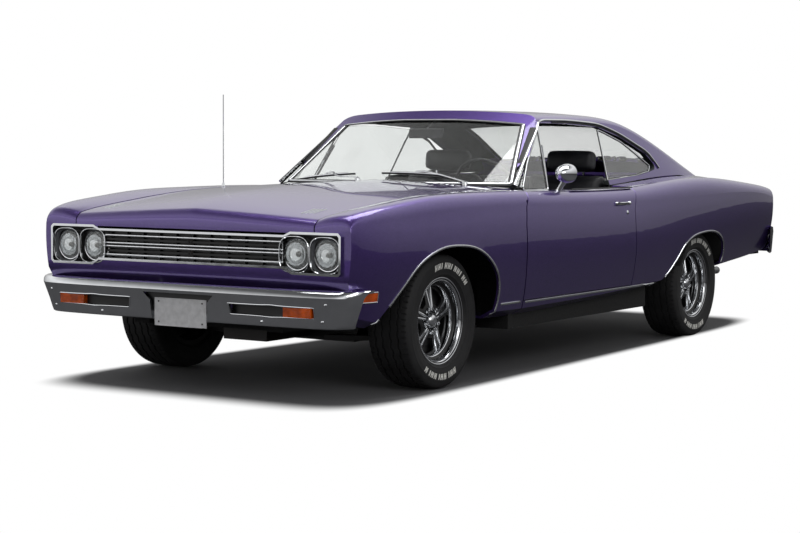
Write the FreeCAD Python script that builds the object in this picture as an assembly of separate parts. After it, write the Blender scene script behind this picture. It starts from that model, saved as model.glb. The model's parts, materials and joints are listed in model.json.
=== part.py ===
"""Two-door hardtop muscle car: lofted body panels, hinged doors, hood and boot lid, steered front wheels.

Lengths are in millimetres. X runs to the car's left, Z runs up and Y runs towards the tail.
While the pieces are drawn, Y is measured back from the front axle; save() then moves every piece so that
Y is zero at the middle of the car's length.
"""
import FreeCAD, Part
import math
import os

V = FreeCAD.Vector
os.makedirs("parts", exist_ok=True)

# Overall sizes
WHEELBASE = 2946.0
FRONT_OVERHANG = 905.0
REAR_OVERHANG = 1298.0
TRACK_FRONT = 1511.0
TRACK_REAR = 1505.0
MIDDLE_Y = (WHEELBASE + REAR_OVERHANG - FRONT_OVERHANG) / 2.0

# Wheels and tyres
TYRE_RADIUS = 323.0
TYRE_WIDTH = 234.0
TREAD_WIDTH = 190.0
RIM_LIP_RADIUS = 207.0
RIM_SEAT_RADIUS = 190.5
RIM_WIDTH = 196.0
RIM_WALL = 5.0
HUB_BORE_RADIUS = 36.0
BOLT_CIRCLE = 114.3
SPOKES = 5

# Steering and hinges
KINGPIN_X = 712.0
DOOR_HINGE_X = 935.0
DOOR_HINGE_Y = 676.0
HINGE_PIN_RADIUS = 5.0
HINGE_BARREL_RADIUS = 10.0
HINGE_HEIGHTS = (500.0, 690.0)
HINGE_LEAF = 30.0

# Panel thicknesses and gaps
SKIN = 12.0
HOOD_SKIN = 16.0
ROOF_SKIN = 26.0
DOOR_SKIN = 28.0
DOOR_DEPTH = 92.0
PANEL_GAP = 6.0
HINGE_GAP = 9.0
SEAT_GAP = 0.3
GLASS = 5.0

# Lines along the car
NOSE_Y = -812.0
TAIL_Y = 4172.0
HOOD_REAR_Y = 684.0
BOOT_FRONT_Y = 3440.0
BOOT_REAR_Y = 4146.0
BELT_Z = 948.0
FLOOR_Z = 236.0
FLOOR_THICK = 24.0
SILL_TOP_Z = 380.0

# Glasshouse
SCREEN_SLOPE = 1.28
SCREEN_BASE_Y = 826.0
SCREEN_BASE_Z = 960.0
SCREEN_ARC = 2537.0


def box(x0, x1, y0, y1, z0, z1):
    return Part.makeBox(x1 - x0, y1 - y0, z1 - z0, V(x0, y0, z0))


def outline(points, radii=0.0):
    """A closed wire through 3-D points, with each corner rounded by its radius."""
    count = len(points)
    if not isinstance(radii, (list, tuple)):
        radii = [radii] * count
    corners = []
    for i, here in enumerate(points):
        radius = radii[i]
        if radius <= 0:
            corners.append((here, here, None))
            continue
        to_last = (points[i - 1] - here).normalize()
        to_next = (points[(i + 1) % count] - here).normalize()
        half = to_last.getAngle(to_next) / 2.0
        reach = radius / math.tan(half)
        bisector = (to_last + to_next).normalize()
        middle = here + bisector * (radius / math.sin(half) - radius)
        corners.append((here + to_last * reach, here + to_next * reach, middle))
    edges = []
    for i, (start, end, middle) in enumerate(corners):
        if middle is not None:
            edges.append(Part.Arc(start, middle, end).toShape())
        following = corners[(i + 1) % count][0]
        if (following - end).Length > 0.01:
            edges.append(Part.LineSegment(end, following).toShape())
    return Part.Wire(edges)


def prism_x(points, x0, x1, radii=0.0):
    """Extrudes a side-view outline, given as (y, z), from x0 to x1."""
    wire = outline([V(x0, y, z) for y, z in points], radii)
    return Part.Face(wire).extrude(V(x1 - x0, 0, 0))


def prism_y(points, y0, y1, radii=0.0):
    """Extrudes a front-view outline, given as (x, z), from y0 to y1."""
    wire = outline([V(x, y0, z) for x, z in points], radii)
    return Part.Face(wire).extrude(V(0, y1 - y0, 0))


def prism_z(points, z0, z1, radii=0.0):
    """Extrudes a plan-view outline, given as (x, y), from z0 to z1."""
    wire = outline([V(x, y, z0) for x, y in points], radii)
    return Part.Face(wire).extrude(V(0, 0, z1 - z0))


def both_sides(points):
    """Completes a plan or front outline drawn from the centre line outwards on the left."""
    return points + [(-x, other) for x, other in reversed(points)]


def cylinder_x(x0, x1, y, z, radius):
    return Part.makeCylinder(radius, x1 - x0, V(x0, y, z), V(1, 0, 0))


def rod(start, end, radius):
    start, end = V(*start), V(*end)
    return Part.makeCylinder(radius, (end - start).Length, start, end - start)


def tube(points, radius, bend=60.0):
    """A round bar along straight runs joined by tangent arcs."""
    knots = [V(*point) for point in points]
    edges = []
    start = knots[0]
    for last, here, following in zip(knots, knots[1:], knots[2:]):
        to_last = (last - here).normalize()
        to_next = (following - here).normalize()
        half = to_last.getAngle(to_next) / 2.0
        reach = bend / math.tan(half)
        entry, leave = here + to_last * reach, here + to_next * reach
        middle = here + (to_last + to_next).normalize() * (bend / math.sin(half) - bend)
        edges.append(Part.LineSegment(start, entry).toShape())
        edges.append(Part.Arc(entry, middle, leave).toShape())
        start = leave
    edges.append(Part.LineSegment(start, knots[-1]).toShape())
    path = Part.Wire(edges)
    ring = Part.Wire(Part.makeCircle(radius, knots[0], knots[1] - knots[0]))
    return path.makePipeShell([ring], True, False)


def revolve_x(profile, x, y, z):
    """Revolves a profile of (offset along X, radius) about the X line through (y, z)."""
    wire = Part.makePolygon([V(x + a, y, z + r) for a, r in profile + profile[:1]])
    return Part.Face(wire).revolve(V(x, y, z), V(1, 0, 0), 360)


def mirror(shape):
    return shape.mirror(V(0, 0, 0), V(1, 0, 0))


def fuse(shapes):
    solid = shapes[0].fuse(shapes[1:]) if len(shapes) > 1 else shapes[0]
    return solid.removeSplitter()


def group(shapes):
    """Keeps solids that don't touch together as one piece."""
    solids = []
    for shape in shapes:
        solids.extend(shape.Solids)
    return Part.makeCompound(solids) if len(solids) > 1 else solids[0]


def largest(shape):
    return max(shape.Solids, key=lambda solid: solid.Volume)


def pair(shape):
    return group([shape, mirror(shape)])


def save(name, shape):
    moved = shape.copy()
    moved.translate(V(0, -MIDDLE_Y, 0))
    moved.exportStep("parts/%s.step" % name)
    return moved


# The lower body is lofted over cross-sections. Each one lists, on the left side: the distance behind the
# front axle, then (x, z) of the sill's underside, the foot of the side, the widest point, the shoulder
# crease, the top of the fender, the edge of the hood or deck, and last the height of the centre line.
SECTIONS = [
    (-812, (812, 402), (850, 432), (893, 622), (893, 806), (846, 829), (700, 812), 846),
    (-700, (842, 352), (893, 382), (928, 602), (918, 810), (868, 862), (701, 838), 878),
    (-500, (858, 330), (915, 362), (948, 600), (932, 818), (878, 887), (702, 864), 913),
    (-200, (865, 322), (927, 356), (958, 600), (940, 832), (882, 915), (704, 896), 938),
    (200, (868, 312), (933, 348), (966, 600), (946, 845), (881, 927), (708, 922), 957),
    (600, (870, 306), (935, 342), (969, 600), (949, 852), (878, 930), (716, 930), 970),
    (1000, (872, 312), (936, 346), (970, 600), (950, 850), (868, 926), (730, 934), 966),
    (1500, (872, 322), (936, 354), (970, 602), (950, 846), (862, 922), (740, 930), 955),
    (2000, (870, 338), (934, 370), (967, 610), (950, 848), (864, 930), (745, 940), 958),
    (2500, (864, 366), (926, 394), (958, 632), (949, 856), (872, 956), (740, 968), 978),
    (3000, (852, 396), (908, 420), (944, 648), (941, 868), (866, 968), (722, 982), 994),
    (3500, (826, 424), (878, 446), (921, 652), (924, 872), (852, 944), (704, 958), 972),
    (3900, (800, 446), (850, 466), (895, 652), (901, 858), (838, 914), (690, 928), 944),
    (4172, (778, 470), (824, 490), (868, 652), (876, 822), (826, 884), (678, 902), 920),
]


def curve(start, control, end):
    bezier = Part.BezierCurve()
    bezier.setPoles([start, control, end])
    return bezier.toShape()


def through(start, middle, end):
    """The control point that makes a quadratic curve pass through its middle."""
    return middle * 2.0 - (start + end) * 0.5


def body_section(station, side, top, floor):
    y, sill, foot, wide, crease, crest, edge, ridge = station
    floor_z = sill[1] + floor
    p_sill = V(sill[0] - side, y, floor_z)
    p_foot = V(foot[0] - side, y, foot[1] + floor)
    p_wide = V(wide[0] - side, y, wide[1])
    p_crease = V(crease[0] - side, y, crease[1] - 0.4 * top)
    p_crest = V(crest[0] - 0.5 * side, y, crest[1] - top)
    p_edge = V(edge[0], y, edge[1] - top)
    p_ridge = V(0, y, ridge - top)
    shoulder = V(p_crease.x - 0.12 * (p_crease.x - p_crest.x), y, p_crest.z - 2)
    flank = through(p_foot, p_wide, p_crease)
    tops = V(0.5 * (p_crest.x + p_edge.x), y, p_crest.z + 2)
    crown = V(0.5 * p_edge.x, y, p_edge.z + 0.62 * (p_ridge.z - p_edge.z))
    left = [
        (p_sill, None, p_foot),
        (p_foot, flank, p_crease),
        (p_crease, shoulder, p_crest),
        (p_crest, tops, p_edge),
        (p_edge, crown, p_ridge),
    ]
    edges = [Part.LineSegment(V(-p_sill.x, y, p_sill.z), p_sill).toShape()]
    for start, control, end in left:
        edges.append(curve(start, control or (start + end) * 0.5, end))
    for start, control, end in reversed(left):
        flip = [V(-p.x, p.y, p.z) for p in (end, control or (start + end) * 0.5, start)]
        edges.append(curve(*flip))
    return Part.Wire(edges)


def lower_body(side=0.0, top=0.0, floor=0.0, ends=0.0):
    """The whole lower body as one solid, or the room inside it when thicknesses are given."""
    wires = [body_section(station, side, top, floor) for station in SECTIONS]
    solid = Part.makeLoft(wires, True, False)
    if ends:
        solid = solid.common(box(-1200, 1200, NOSE_Y + ends, TAIL_Y - ends, 0, 1200))
    return solid


# The glasshouse is lofted too: distance back, then (x, z) at the belt, at the drip rail and on the
# roof's shoulder, and the height of the centre line.
ROOF_SECTIONS = [
    (640, (808, 900), (634, 1284), (520, 1312), 1330),
    (1000, (804, 900), (632, 1288), (520, 1318), 1338),
    (1330, (797, 900), (630, 1292), (520, 1326), 1347),
    (1700, (786, 900), (626, 1294), (518, 1332), 1354),
    (2050, (776, 900), (624, 1290), (516, 1330), 1352),
    (2350, (771, 900), (634, 1266), (522, 1308), 1328),
    (2600, (768, 900), (656, 1200), (536, 1252), 1272),
    (2850, (764, 900), (682, 1112), (556, 1168), 1188),
    (3100, (758, 900), (700, 1020), (576, 1078), 1098),
    (3350, (750, 880), (706, 940), (596, 992), 1012),
    (3560, (742, 850), (704, 880), (604, 918), 936),
]


def roof_section(station, inset):
    y, belt, rail, shoulder, crown_z = station
    y += 0.5 * inset if station is ROOF_SECTIONS[-1] else 0.0
    p_foot = V(belt[0] - inset + 40 * 0.45, y, belt[1] - 60 - inset)
    p_rail = V(rail[0] - inset, y, rail[1] - 0.5 * inset)
    p_shoulder = V(shoulder[0] - 0.6 * inset, y, shoulder[1] - inset)
    p_crown = V(0, y, crown_z - inset)
    slope = (p_crown.z - p_shoulder.z) / p_shoulder.x
    round_x = p_rail.x - 22
    rounding = V(round_x, y, p_shoulder.z - 1.6 * slope * (round_x - p_shoulder.x))
    crown = V(0.55 * p_shoulder.x, y, p_crown.z - 1)
    side = V(0.5 * (p_foot.x + p_rail.x) + 7, y, 0.5 * (p_foot.z + p_rail.z))
    left = [(p_foot, side, p_rail), (p_rail, rounding, p_shoulder), (p_shoulder, crown, p_crown)]
    edges = [Part.LineSegment(V(-p_foot.x, y, p_foot.z), p_foot).toShape()]
    for start, control, end in left:
        edges.append(curve(start, control, end))
    for start, control, end in reversed(left):
        edges.append(curve(*[V(-p.x, p.y, p.z) for p in (end, control, start)]))
    return Part.Wire(edges)


def behind_screen(setback):
    """Everything behind the curved windshield's outer face, moved back by setback."""
    low_z, height = 800.0, 700.0
    front = SCREEN_BASE_Y + setback - (SCREEN_BASE_Z - low_z) * SCREEN_SLOPE
    half = 1000.0
    sag = SCREEN_ARC - math.sqrt(SCREEN_ARC ** 2 - half ** 2)
    arc = Part.Arc(V(-half, front + sag, low_z), V(0, front, low_z), V(half, front + sag, low_z))
    edges = [
        arc.toShape(),
        Part.LineSegment(V(half, front + sag, low_z), V(half, 4400, low_z)).toShape(),
        Part.LineSegment(V(half, 4400, low_z), V(-half, 4400, low_z)).toShape(),
        Part.LineSegment(V(-half, 4400, low_z), V(-half, front + sag, low_z)).toShape(),
    ]
    return Part.Face(Part.Wire(edges)).extrude(V(0, SCREEN_SLOPE * height, height))


def glasshouse(inset=0.0, setback=None):
    wires = [roof_section(station, inset) for station in ROOF_SECTIONS]
    solid = Part.makeLoft(wires, True, False)
    return solid.common(behind_screen(inset * 1.6 if setback is None else setback))


body = lower_body()
body_inner = lower_body(SKIN, HOOD_SKIN, SKIN, SKIN)
cabin_top = glasshouse()
cabin_inner = glasshouse(ROOF_SKIN)

# Side-view outlines: door gaps, wheel arches and side windows
DOOR_FRONT_LINE = [(745, 985), (728, 932), (664, 852), (642, 760), (637, 583), (642, 459), (646, 384)]
DOOR_REAR_LINE = [(1886, 384), (1892, 576), (1882, 700), (1886, 800), (1918, 865), (1955, 925), (1972, 985)]
FRONT_ARCH = [(-690, 250), (-640, 345), (-472, 502), (-330, 612), (-150, 672), (30, 676), (160, 655),
              (265, 606), (340, 540), (372, 475), (378, 405), (352, 250)]
REAR_ARCH = [(2190, 250), (2240, 345), (2400, 425), (2510, 505), (2600, 575), (2740, 624), (2960, 640),
             (3110, 622), (3215, 570), (3258, 500), (3250, 430), (3190, 250)]
SIDE_WINDOW = [(905, 955), (1352, 1276), (1670, 1276), (2050, 1262), (2300, 1206), (2575, 1112), (2676, 1026),
               (2560, 1006), (2380, 985), (1975, 962)]


def spline_prism(points, x0, x1):
    """Extrudes a closed side-view outline whose upper run is one smooth curve, with a straight foot."""
    knots = [V(x0, y, z) for y, z in points]
    smooth = Part.BSplineCurve()
    smooth.interpolate(knots)
    foot = Part.LineSegment(knots[-1], knots[0]).toShape()
    return Part.Face(Part.Wire([smooth.toShape(), foot])).extrude(V(x1 - x0, 0, 0))


front_arch_cut = spline_prism(FRONT_ARCH, 480, 1200)
rear_arch_cut = spline_prism(REAR_ARCH, 600, 1200)

# Doors
door_points = DOOR_FRONT_LINE + DOOR_REAR_LINE


def inset_outline(points, dy, dz):
    middle = (points[0][0] + points[-1][0]) / 2.0
    return [(y + (dy if y < middle else -dy), z + (dz if z < 500 else 0)) for y, z in points]


door_space = prism_x(inset_outline(door_points, -PANEL_GAP, -PANEL_GAP), 500, 1200)
door_room = prism_x(inset_outline(door_points, 0, 0), 500, 1200)
door_core_room = prism_x(inset_outline(door_points, 16, 16), 500, 1200)


def inner_side(depth_low, depth_belt):
    """The space inboard of a door's inner face, which leans in towards the belt."""
    points = [(400, 250), (958 - depth_low, 250), (958 - depth_low, 700), (868 - depth_belt, 900), (868 - depth_belt, 1100),
              (400, 1100)]
    return prism_y(points, 500, 2300)


belt_ledge = box(400, 1200, 500, 2300, BELT_Z - 26, 1200)
door_skin_shape = body.common(door_room).cut(inner_side(DOOR_SKIN, 60)).cut(belt_ledge)
door_core = body.common(door_core_room).cut(inner_side(DOOR_DEPTH, 118)).cut(belt_ledge)
door_left = fuse([door_skin_shape, door_core])


def hinge_leaf(z, height, strap):
    """One half of a door hinge: a barrel on the pin's axis with the strap that carries it."""
    barrel = Part.makeCylinder(HINGE_BARREL_RADIUS, height, V(DOOR_HINGE_X, DOOR_HINGE_Y, z))
    return barrel.fuse(prism_z(strap, z, z + height)).removeSplitter()


body_hinges = []
for z in HINGE_HEIGHTS:
    door_left = door_left.cut(box(780, 952, 630, 714, z - 10, z + 2 * HINGE_LEAF + 10))
    top = z + HINGE_LEAF + SEAT_GAP
    leaf = hinge_leaf(top, HINGE_LEAF, [(DOOR_HINGE_X - 9, DOOR_HINGE_Y), (DOOR_HINGE_X - 9, 720), (DOOR_HINGE_X + 9, 720),
                                        (DOOR_HINGE_X + 9, DOOR_HINGE_Y)])
    pin = Part.makeCylinder(HINGE_PIN_RADIUS, 2 * HINGE_LEAF, V(DOOR_HINGE_X, DOOR_HINGE_Y, z))
    bore = Part.makeCylinder(HINGE_PIN_RADIUS + SEAT_GAP, 3 * HINGE_LEAF, V(DOOR_HINGE_X, DOOR_HINGE_Y, z))
    door_left = door_left.fuse(leaf.cut(bore)).removeSplitter()
    fixed = hinge_leaf(z, HINGE_LEAF, [(866, 636), (882, 636), (882, DOOR_HINGE_Y - 8), (DOOR_HINGE_X, DOOR_HINGE_Y - 8),
                                       (DOOR_HINGE_X, DOOR_HINGE_Y + 8), (866, DOOR_HINGE_Y + 8)])
    body_hinges.append(fixed.fuse(pin).removeSplitter())
body_hinges = group(body_hinges)

# Front fenders
fender_side = prism_z([(703, -1000), (712, 100), (722, HOOD_REAR_Y + 5), (722, 1000), (1200, 1000), (1200, -1000)], 0, 1200)
ahead_of_door = prism_x([(-900, 200), (-900, 1200), (745 - HINGE_GAP, 1200)] +
                        [(y - HINGE_GAP, z) for y, z in DOOR_FRONT_LINE] + [(646 - HINGE_GAP, 200)], 500, 1200)
fender = body.cut(body_inner).common(fender_side).common(ahead_of_door).cut(front_arch_cut)
fender = fender.cut(behind_screen(-40).common(box(0, 1200, 0, 2000, 800, 1400)))

# The door's front edge swings inside the fender, so the fender's inner side is turned away round the hinge
DOOR_EDGE_SWEEP = [(370, 34), (384, 36), (459, 46), (583, 57), (700, 53), (760, 47), (800, 36), (852, 23), (864, 17),
                   (878, 16), (884, 6)]
swing = [V(DOOR_HINGE_X, DOOR_HINGE_Y, 370)] + [V(DOOR_HINGE_X + r, DOOR_HINGE_Y, z) for z, r in DOOR_EDGE_SWEEP]
swing = Part.Face(Part.makePolygon(swing + [V(DOOR_HINGE_X, DOOR_HINGE_Y, 884), swing[0]])).revolve(
    V(DOOR_HINGE_X, DOOR_HINGE_Y, 0), V(0, 0, 1), 360)
fender = largest(fender.cut(swing))

# Hood
hood_plan = both_sides([(703 - PANEL_GAP, -1000), (712 - PANEL_GAP, 100), (722 - PANEL_GAP, HOOD_REAR_Y)])
hood = body.cut(body_inner).common(prism_z(hood_plan, 700, 1200))

# Cowl panel between the hood and the windshield
cowl_side = 722
cowl = body.cut(body_inner).common(box(-cowl_side, cowl_side, HOOD_REAR_Y + PANEL_GAP, 1100, 800, 1200))
cowl = cowl.cut(behind_screen(-6))

# Quarter panels
behind_door = prism_x([(y + PANEL_GAP, z) for y, z in DOOR_REAR_LINE] + [(2100, 1200), (4400, 1200), (4400, 300),
                      (2236, 300), (2236, SILL_TOP_Z + 2), (1892 + PANEL_GAP, SILL_TOP_Z + 2)], 400, 1200)
quarter_plan = prism_z([(600, 1800), (782, 1800), (772, 2600), (764, 3200), (708, BOOT_FRONT_Y), (682, 4200),
                        (1200, 4200), (1200, 1800)], 0, 1200)
quarter = body.cut(body_inner).common(behind_door).common(quarter_plan).cut(rear_arch_cut)
quarter = quarter.common(box(0, 1200, 0, BOOT_REAR_Y, 0, 1200))
quarter = quarter.cut(cylinder_x(500, 884, WHEELBASE, TYRE_RADIUS, 366))

# Rockers below the doors
SILL_X = 862.0
rocker = body.common(box(SILL_X, 1200, 646, 2230, 200, SILL_TOP_Z))

# Rear deck: boot lid, tail panel
boot_plan = both_sides([(708 - PANEL_GAP, BOOT_FRONT_Y), (684 - PANEL_GAP, BOOT_REAR_Y - PANEL_GAP)])
boot_lid = body.cut(body_inner).common(prism_z(boot_plan, 800, 1200))
tail_panel = body.common(box(-1200, 1200, BOOT_REAR_Y, TAIL_Y, 0, 1200))

# Roof with pillars and rear deck panel
window_left = prism_x(SIDE_WINDOW, 400, 1200, [6, 10, 0, 0, 0, 0, 22, 0, 0, 0])
screen_hole = behind_screen(-60).cut(behind_screen(120)).common(glasshouse(52, -80)).common(
    box(-1000, 1000, 0, 2000, 953, 1290))
backlight_hole = prism_z(both_sides([(505, 2480), (600, 3130)]), 960, 1400, 30)
roof = cabin_top.cut(cabin_inner).cut(window_left).cut(mirror(window_left)).cut(screen_hole).cut(backlight_hole)
roof = roof.common(box(-1200, 1200, 0, BOOT_FRONT_Y - PANEL_GAP, 930, 1500))
roof = roof.cut(box(-1200, 1200, 912, 1966, 900, BELT_Z + 24))
roof = largest(roof.cut(body))
deck = body.cut(body_inner).common(box(-780, 780, 3000, BOOT_FRONT_Y - PANEL_GAP, 800, 1200))
deck = deck.cut(pair(quarter)).cut(cabin_inner.common(box(-1200, 1200, 2000, 3160, 0, 1200)))

# The gutter under the boot lid's front edge, which the closed lid rests on
GUTTER = 8.0
gutter_y = BOOT_FRONT_Y - PANEL_GAP
below_gutter = lower_body(SKIN, HOOD_SKIN + GUTTER)
gutter = lower_body(SKIN, HOOD_SKIN + SEAT_GAP).cut(below_gutter).common(
    box(-640, 640, gutter_y, BOOT_FRONT_Y + 2 * GUTTER, 800, 1200))
gutter_root = lower_body(SKIN, HOOD_SKIN - 2).cut(below_gutter).common(
    box(-640, 640, gutter_y - 2 * GUTTER, gutter_y, 800, 1200))
roof = fuse([roof, largest(deck), gutter, gutter_root])

glass_zone = glasshouse(8).cut(glasshouse(8 + GLASS))
windshield = behind_screen(4).cut(behind_screen(4 + GLASS * 1.6)).common(glasshouse(52 + SEAT_GAP, -80)).common(
    box(-1000, 1000, 0, 2000, 953 + SEAT_GAP, 1290 - SEAT_GAP))
rear_window = largest(glass_zone.common(
    prism_z(both_sides([(505 - SEAT_GAP, 2480 + SEAT_GAP), (600 - SEAT_GAP, 3130 - SEAT_GAP)]), 960, 1400, 30)))
quarter_glass_points = [(1976, 962 + SEAT_GAP), (2056, 1246), (2110, 1236), (2310, 1180), (2600, 1040),
                        (2560, 1006 + SEAT_GAP), (2380, 985 + SEAT_GAP)]
quarter_glass = largest(glass_zone.common(prism_x(quarter_glass_points, 400, 1200)))

# Nose: the opening that the grille and the lamps share, bone-shaped and wider at the lamps
GRILLE_OPENING = [(545, 752), (579, 768), (838, 768), (852, 754), (852, 592), (838, 578), (588, 578), (546, 602)]
nose_cut = prism_y(both_sides(GRILLE_OPENING), -1000, -700, 6)
hood = hood.cut(nose_cut).cut(box(-1000, 1000, -1000, -700, 600, 762))
fender = fender.cut(nose_cut)
fender = largest(fender)
valance = body.common(box(-1200, 1200, NOSE_Y, NOSE_Y + SKIN, 380, 1200))
valance = valance.cut(prism_y(both_sides([(703, 1300), (703, 765), (545, 765), (540, 756)]), -1000, -700))
valance = largest(valance.cut(nose_cut).cut(pair(fender)).cut(hood).cut(box(-1000, 1000, -1000, -700, 768, 1300)))
fender = fender.cut(valance)

ring_outer = prism_y(both_sides(GRILLE_OPENING), -826, -790, 6)
ring_inner = prism_y(both_sides([(541, 742), (582, 757), (832, 757), (841, 748), (841, 598), (832, 589), (592, 589),
                                 (550, 613)]), -850, -700, 6)
surround = ring_outer.cut(ring_inner)
bars = [box(-530, 530, -806, -788, z - 5, z + 5) for z in (720, 702, 684, 666, 648, 629)]
uprights = [box(x - 3, x + 3, -790, -776, 612, 742) for x in range(-500, 501, 100)]
grille_back = prism_y(both_sides(GRILLE_OPENING), -776, -768, 6)
grille = fuse([grille_back] + uprights + bars)
LAMP_Z = 667.0
lamps = []
for x in (598, 765):
    bowl = Part.makeCylinder(74, 30, V(x, -800, LAMP_Z), V(0, 1, 0))
    lens = Part.makeSphere(170, V(x, -648, LAMP_Z)).common(Part.makeCylinder(70, 60, V(x, -830, LAMP_Z), V(0, 1, 0)))
    lamps.append(bowl.fuse(lens).removeSplitter())
lamp_holes = group([shape for x in (598, 765) for shape in
                    pair(Part.makeCylinder(74 + SEAT_GAP, 200, V(x, -900, LAMP_Z), V(0, 1, 0))).Solids])
grille = grille.cut(lamp_holes)
surround = surround.cut(lamp_holes)
lamps = [lamp.cut(box(0, 900, -776, -700, 400, 900)) for lamp in lamps]
headlamps = group([solid for lamp in lamps for solid in pair(lamp).Solids])


# Bumpers
def bumper(profile, path, wall):
    """Lofts a closed (y, z) profile across the car; path lists (x, setback, height share)."""
    def shell(inset, reach):
        wires = []
        for x, setback, rise in [(-a, b, c) for a, b, c in reversed(path)] + path:
            wires.append(outline([V(x + (reach if x > 0 else -reach) * (abs(x) == path[-1][0]), y + setback, z + rise)
                                  for y, z in inset]))
        return Part.makeLoft(wires, True, True)
    inner = [(y, z) for y, z in wall]
    return shell(profile, 0).cut(shell(inner, -12))


front_profile = [(-836, 517), (-880, 508), (-905, 484), (-880, 346), (-850, 346), (-836, 440)]
front_wall = [(-826, 507), (-876, 499), (-892, 482), (-868, 330), (-840, 330), (-826, 440)]
front_path = [(216, 0, 0), (700, 12, 0), (880, 34, 0), (948, 92, -6)]
front_bumper = bumper(front_profile, front_path, front_wall)
plate_recess = prism_y(both_sides([(166, 452), (166, 300)]), -1000, -700)
slots = pair(prism_y([(292, 442), (744, 440), (744, 394), (300, 394)], -1000, -700, 8))
front_bumper = front_bumper.cut(plate_recess.common(box(-400, 400, -1000, -878, 0, 1000))).cut(slots)
turn_lamps = pair(box(586, 736, -886, -850, 395, 439))
rear_profile = [(4204, 640), (4236, 634), (4244, 606), (4216, 470), (4190, 462), (4190, 620)]
rear_wall = [(4180, 630), (4230, 626), (4234, 606), (4206, 474), (4186, 440), (4180, 620)]
rear_path = [(216, 0, 0), (700, -12, 0), (840, -34, 0), (892, -96, -6)]
rear_bumper = bumper(rear_profile, rear_path, rear_wall)
front_bumper = largest(front_bumper.cut(body))
rear_bumper = largest(rear_bumper.cut(body))
plate = box(-152, 152, -881, -878 - SEAT_GAP, 318, 446)
turn_lamps = turn_lamps.cut(front_bumper)

# Underbody
floor_top = FLOOR_Z + FLOOR_THICK
REAR_FLOOR_Z = 470.0
FIREWALL_Y = 702.0
RAIL_X = 440.0
WHEELHOUSE_X = 602.0
WHEELHOUSE_R = 366.0
SPRING_X = 570.0
floor_parts = [box(-800, 800, FIREWALL_Y, 2330, FLOOR_Z, floor_top)]
rear_line = [(2310, FLOOR_Z), (2330, FLOOR_Z), (2450, REAR_FLOOR_Z - 20), (4146, REAR_FLOOR_Z - 20), (4146, REAR_FLOOR_Z),
             (2438, REAR_FLOOR_Z), (2310, floor_top)]
floor_parts.append(prism_x(rear_line, -WHEELHOUSE_X - 6, WHEELHOUSE_X + 6))
for x0, x1 in ((WHEELHOUSE_X, 790), (-790, -WHEELHOUSE_X)):
    wing = prism_x(rear_line, x0, x1)
    floor_parts.append(wing.cut(box(-1000, 1000, 2946 - WHEELHOUSE_R, 2946 + WHEELHOUSE_R, 0, 800)))
floor_parts.append(prism_y(both_sides([(110, 400), (152, floor_top - 4)]), FIREWALL_Y, 2440))
floor_parts += pair(box(788, SILL_X, 650, 2236, FLOOR_Z, SILL_TOP_Z)).Solids
floor_parts += pair(box(SPRING_X - 18, SPRING_X + 18, 2452, 2482, 369 + SEAT_GAP, REAR_FLOOR_Z - 15)).Solids
floor_parts += pair(box(SPRING_X - 18, SPRING_X + 18, 3476, 3500, 396 + SEAT_GAP, REAR_FLOOR_Z - 12)).Solids
tunnel_room = box(-122, 122, 600, 2500, 200, 372)
floor_pan = fuse(floor_parts).cut(tunnel_room)

front_parts = [box(-730, 730, FIREWALL_Y, FIREWALL_Y + 14, FLOOR_Z, 912)]
front_parts += pair(box(700, 742, FIREWALL_Y, 800, FLOOR_Z, 926)).Solids
front_parts += pair(box(700, 880, 600, 644, FLOOR_Z, 890)).Solids
front_parts += pair(body_hinges).Solids
front_parts += pair(box(700, 740, 640, FIREWALL_Y + 4, FLOOR_Z, 890)).Solids
front_parts += pair(box(350, RAIL_X, -690, FIREWALL_Y + 4, 300, 400)).Solids
front_parts += pair(box(RAIL_X - 8, RAIL_X + 2, -650, FIREWALL_Y + 4, 390, 778)).Solids
front_parts += pair(box(RAIL_X - 8, 880, -650, 630, 768, 778).common(body_inner)).Solids
front_parts.append(box(-RAIL_X, RAIL_X, -652, -632, 300, 790).cut(box(-330, 330, -700, -600, 410, 740)))
front_frame = fuse(front_parts).cut(tunnel_room).cut(floor_pan)

wheelhouse = cylinder_x(WHEELHOUSE_X, 940, WHEELBASE, TYRE_RADIUS, WHEELHOUSE_R + 12)
wheelhouse = wheelhouse.cut(cylinder_x(WHEELHOUSE_X + 12, 960, WHEELBASE, TYRE_RADIUS, WHEELHOUSE_R))
wheelhouse = wheelhouse.common(box(0, 1000, 2400, 3500, REAR_FLOOR_Z - 20, 900)).common(body_inner)
bulkhead = prism_x([(2880, 460), (2900, 460), (2900, 940), (2880, 940)], -606, 606)
shelf = box(-606, 606, 2880, 3140, 928, 940)
rear_frame = fuse(pair(largest(wheelhouse)).Solids + [bulkhead, shelf]).cut(floor_pan)

panels_around = [pair(rocker), pair(quarter), cowl, pair(fender), tail_panel]
for panel in panels_around:
    floor_pan = floor_pan.cut(panel)
    front_frame = front_frame.cut(panel)
    rear_frame = rear_frame.cut(panel)

# Engine, drive and exhaust
engine = fuse([box(-215, 215, -470, 230, 330, 800), box(-130, 130, -400, 150, 215, 340),
               box(-345, 345, -80, 20, 402, 440)])
GEARBOX = [(230, 170), (420, 120), (980, 70), (980, 0), (230, 0)]
gearbox = Part.Face(Part.makePolygon([V(0, y, 290 + r) for y, r in GEARBOX + GEARBOX[:1]])).revolve(
    V(0, 0, 290), V(0, 1, 0), 360)
gearbox = gearbox.common(box(-110, 110, 0, 1200, 190, 362))
driveline = fuse([gearbox, rod((0, 960, 290), (0, 2790, 318), 38)])
muffler = prism_y([(245, 150), (425, 150), (425, 226), (245, 226)], 1800, 2280, 36)
front_pipe = tube([(200, -60, 300), (250, 150, 215), (300, 800, 190), (335, 1300, 188), (335, 1820, 188)], 27, 90)
tail_pipe = tube([(335, 2260, 188), (350, 2480, 200), (430, 2720, 400), (450, 2980, 402), (470, 3300, 322),
                  (470, 4200, 322)], 25, 80)
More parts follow.
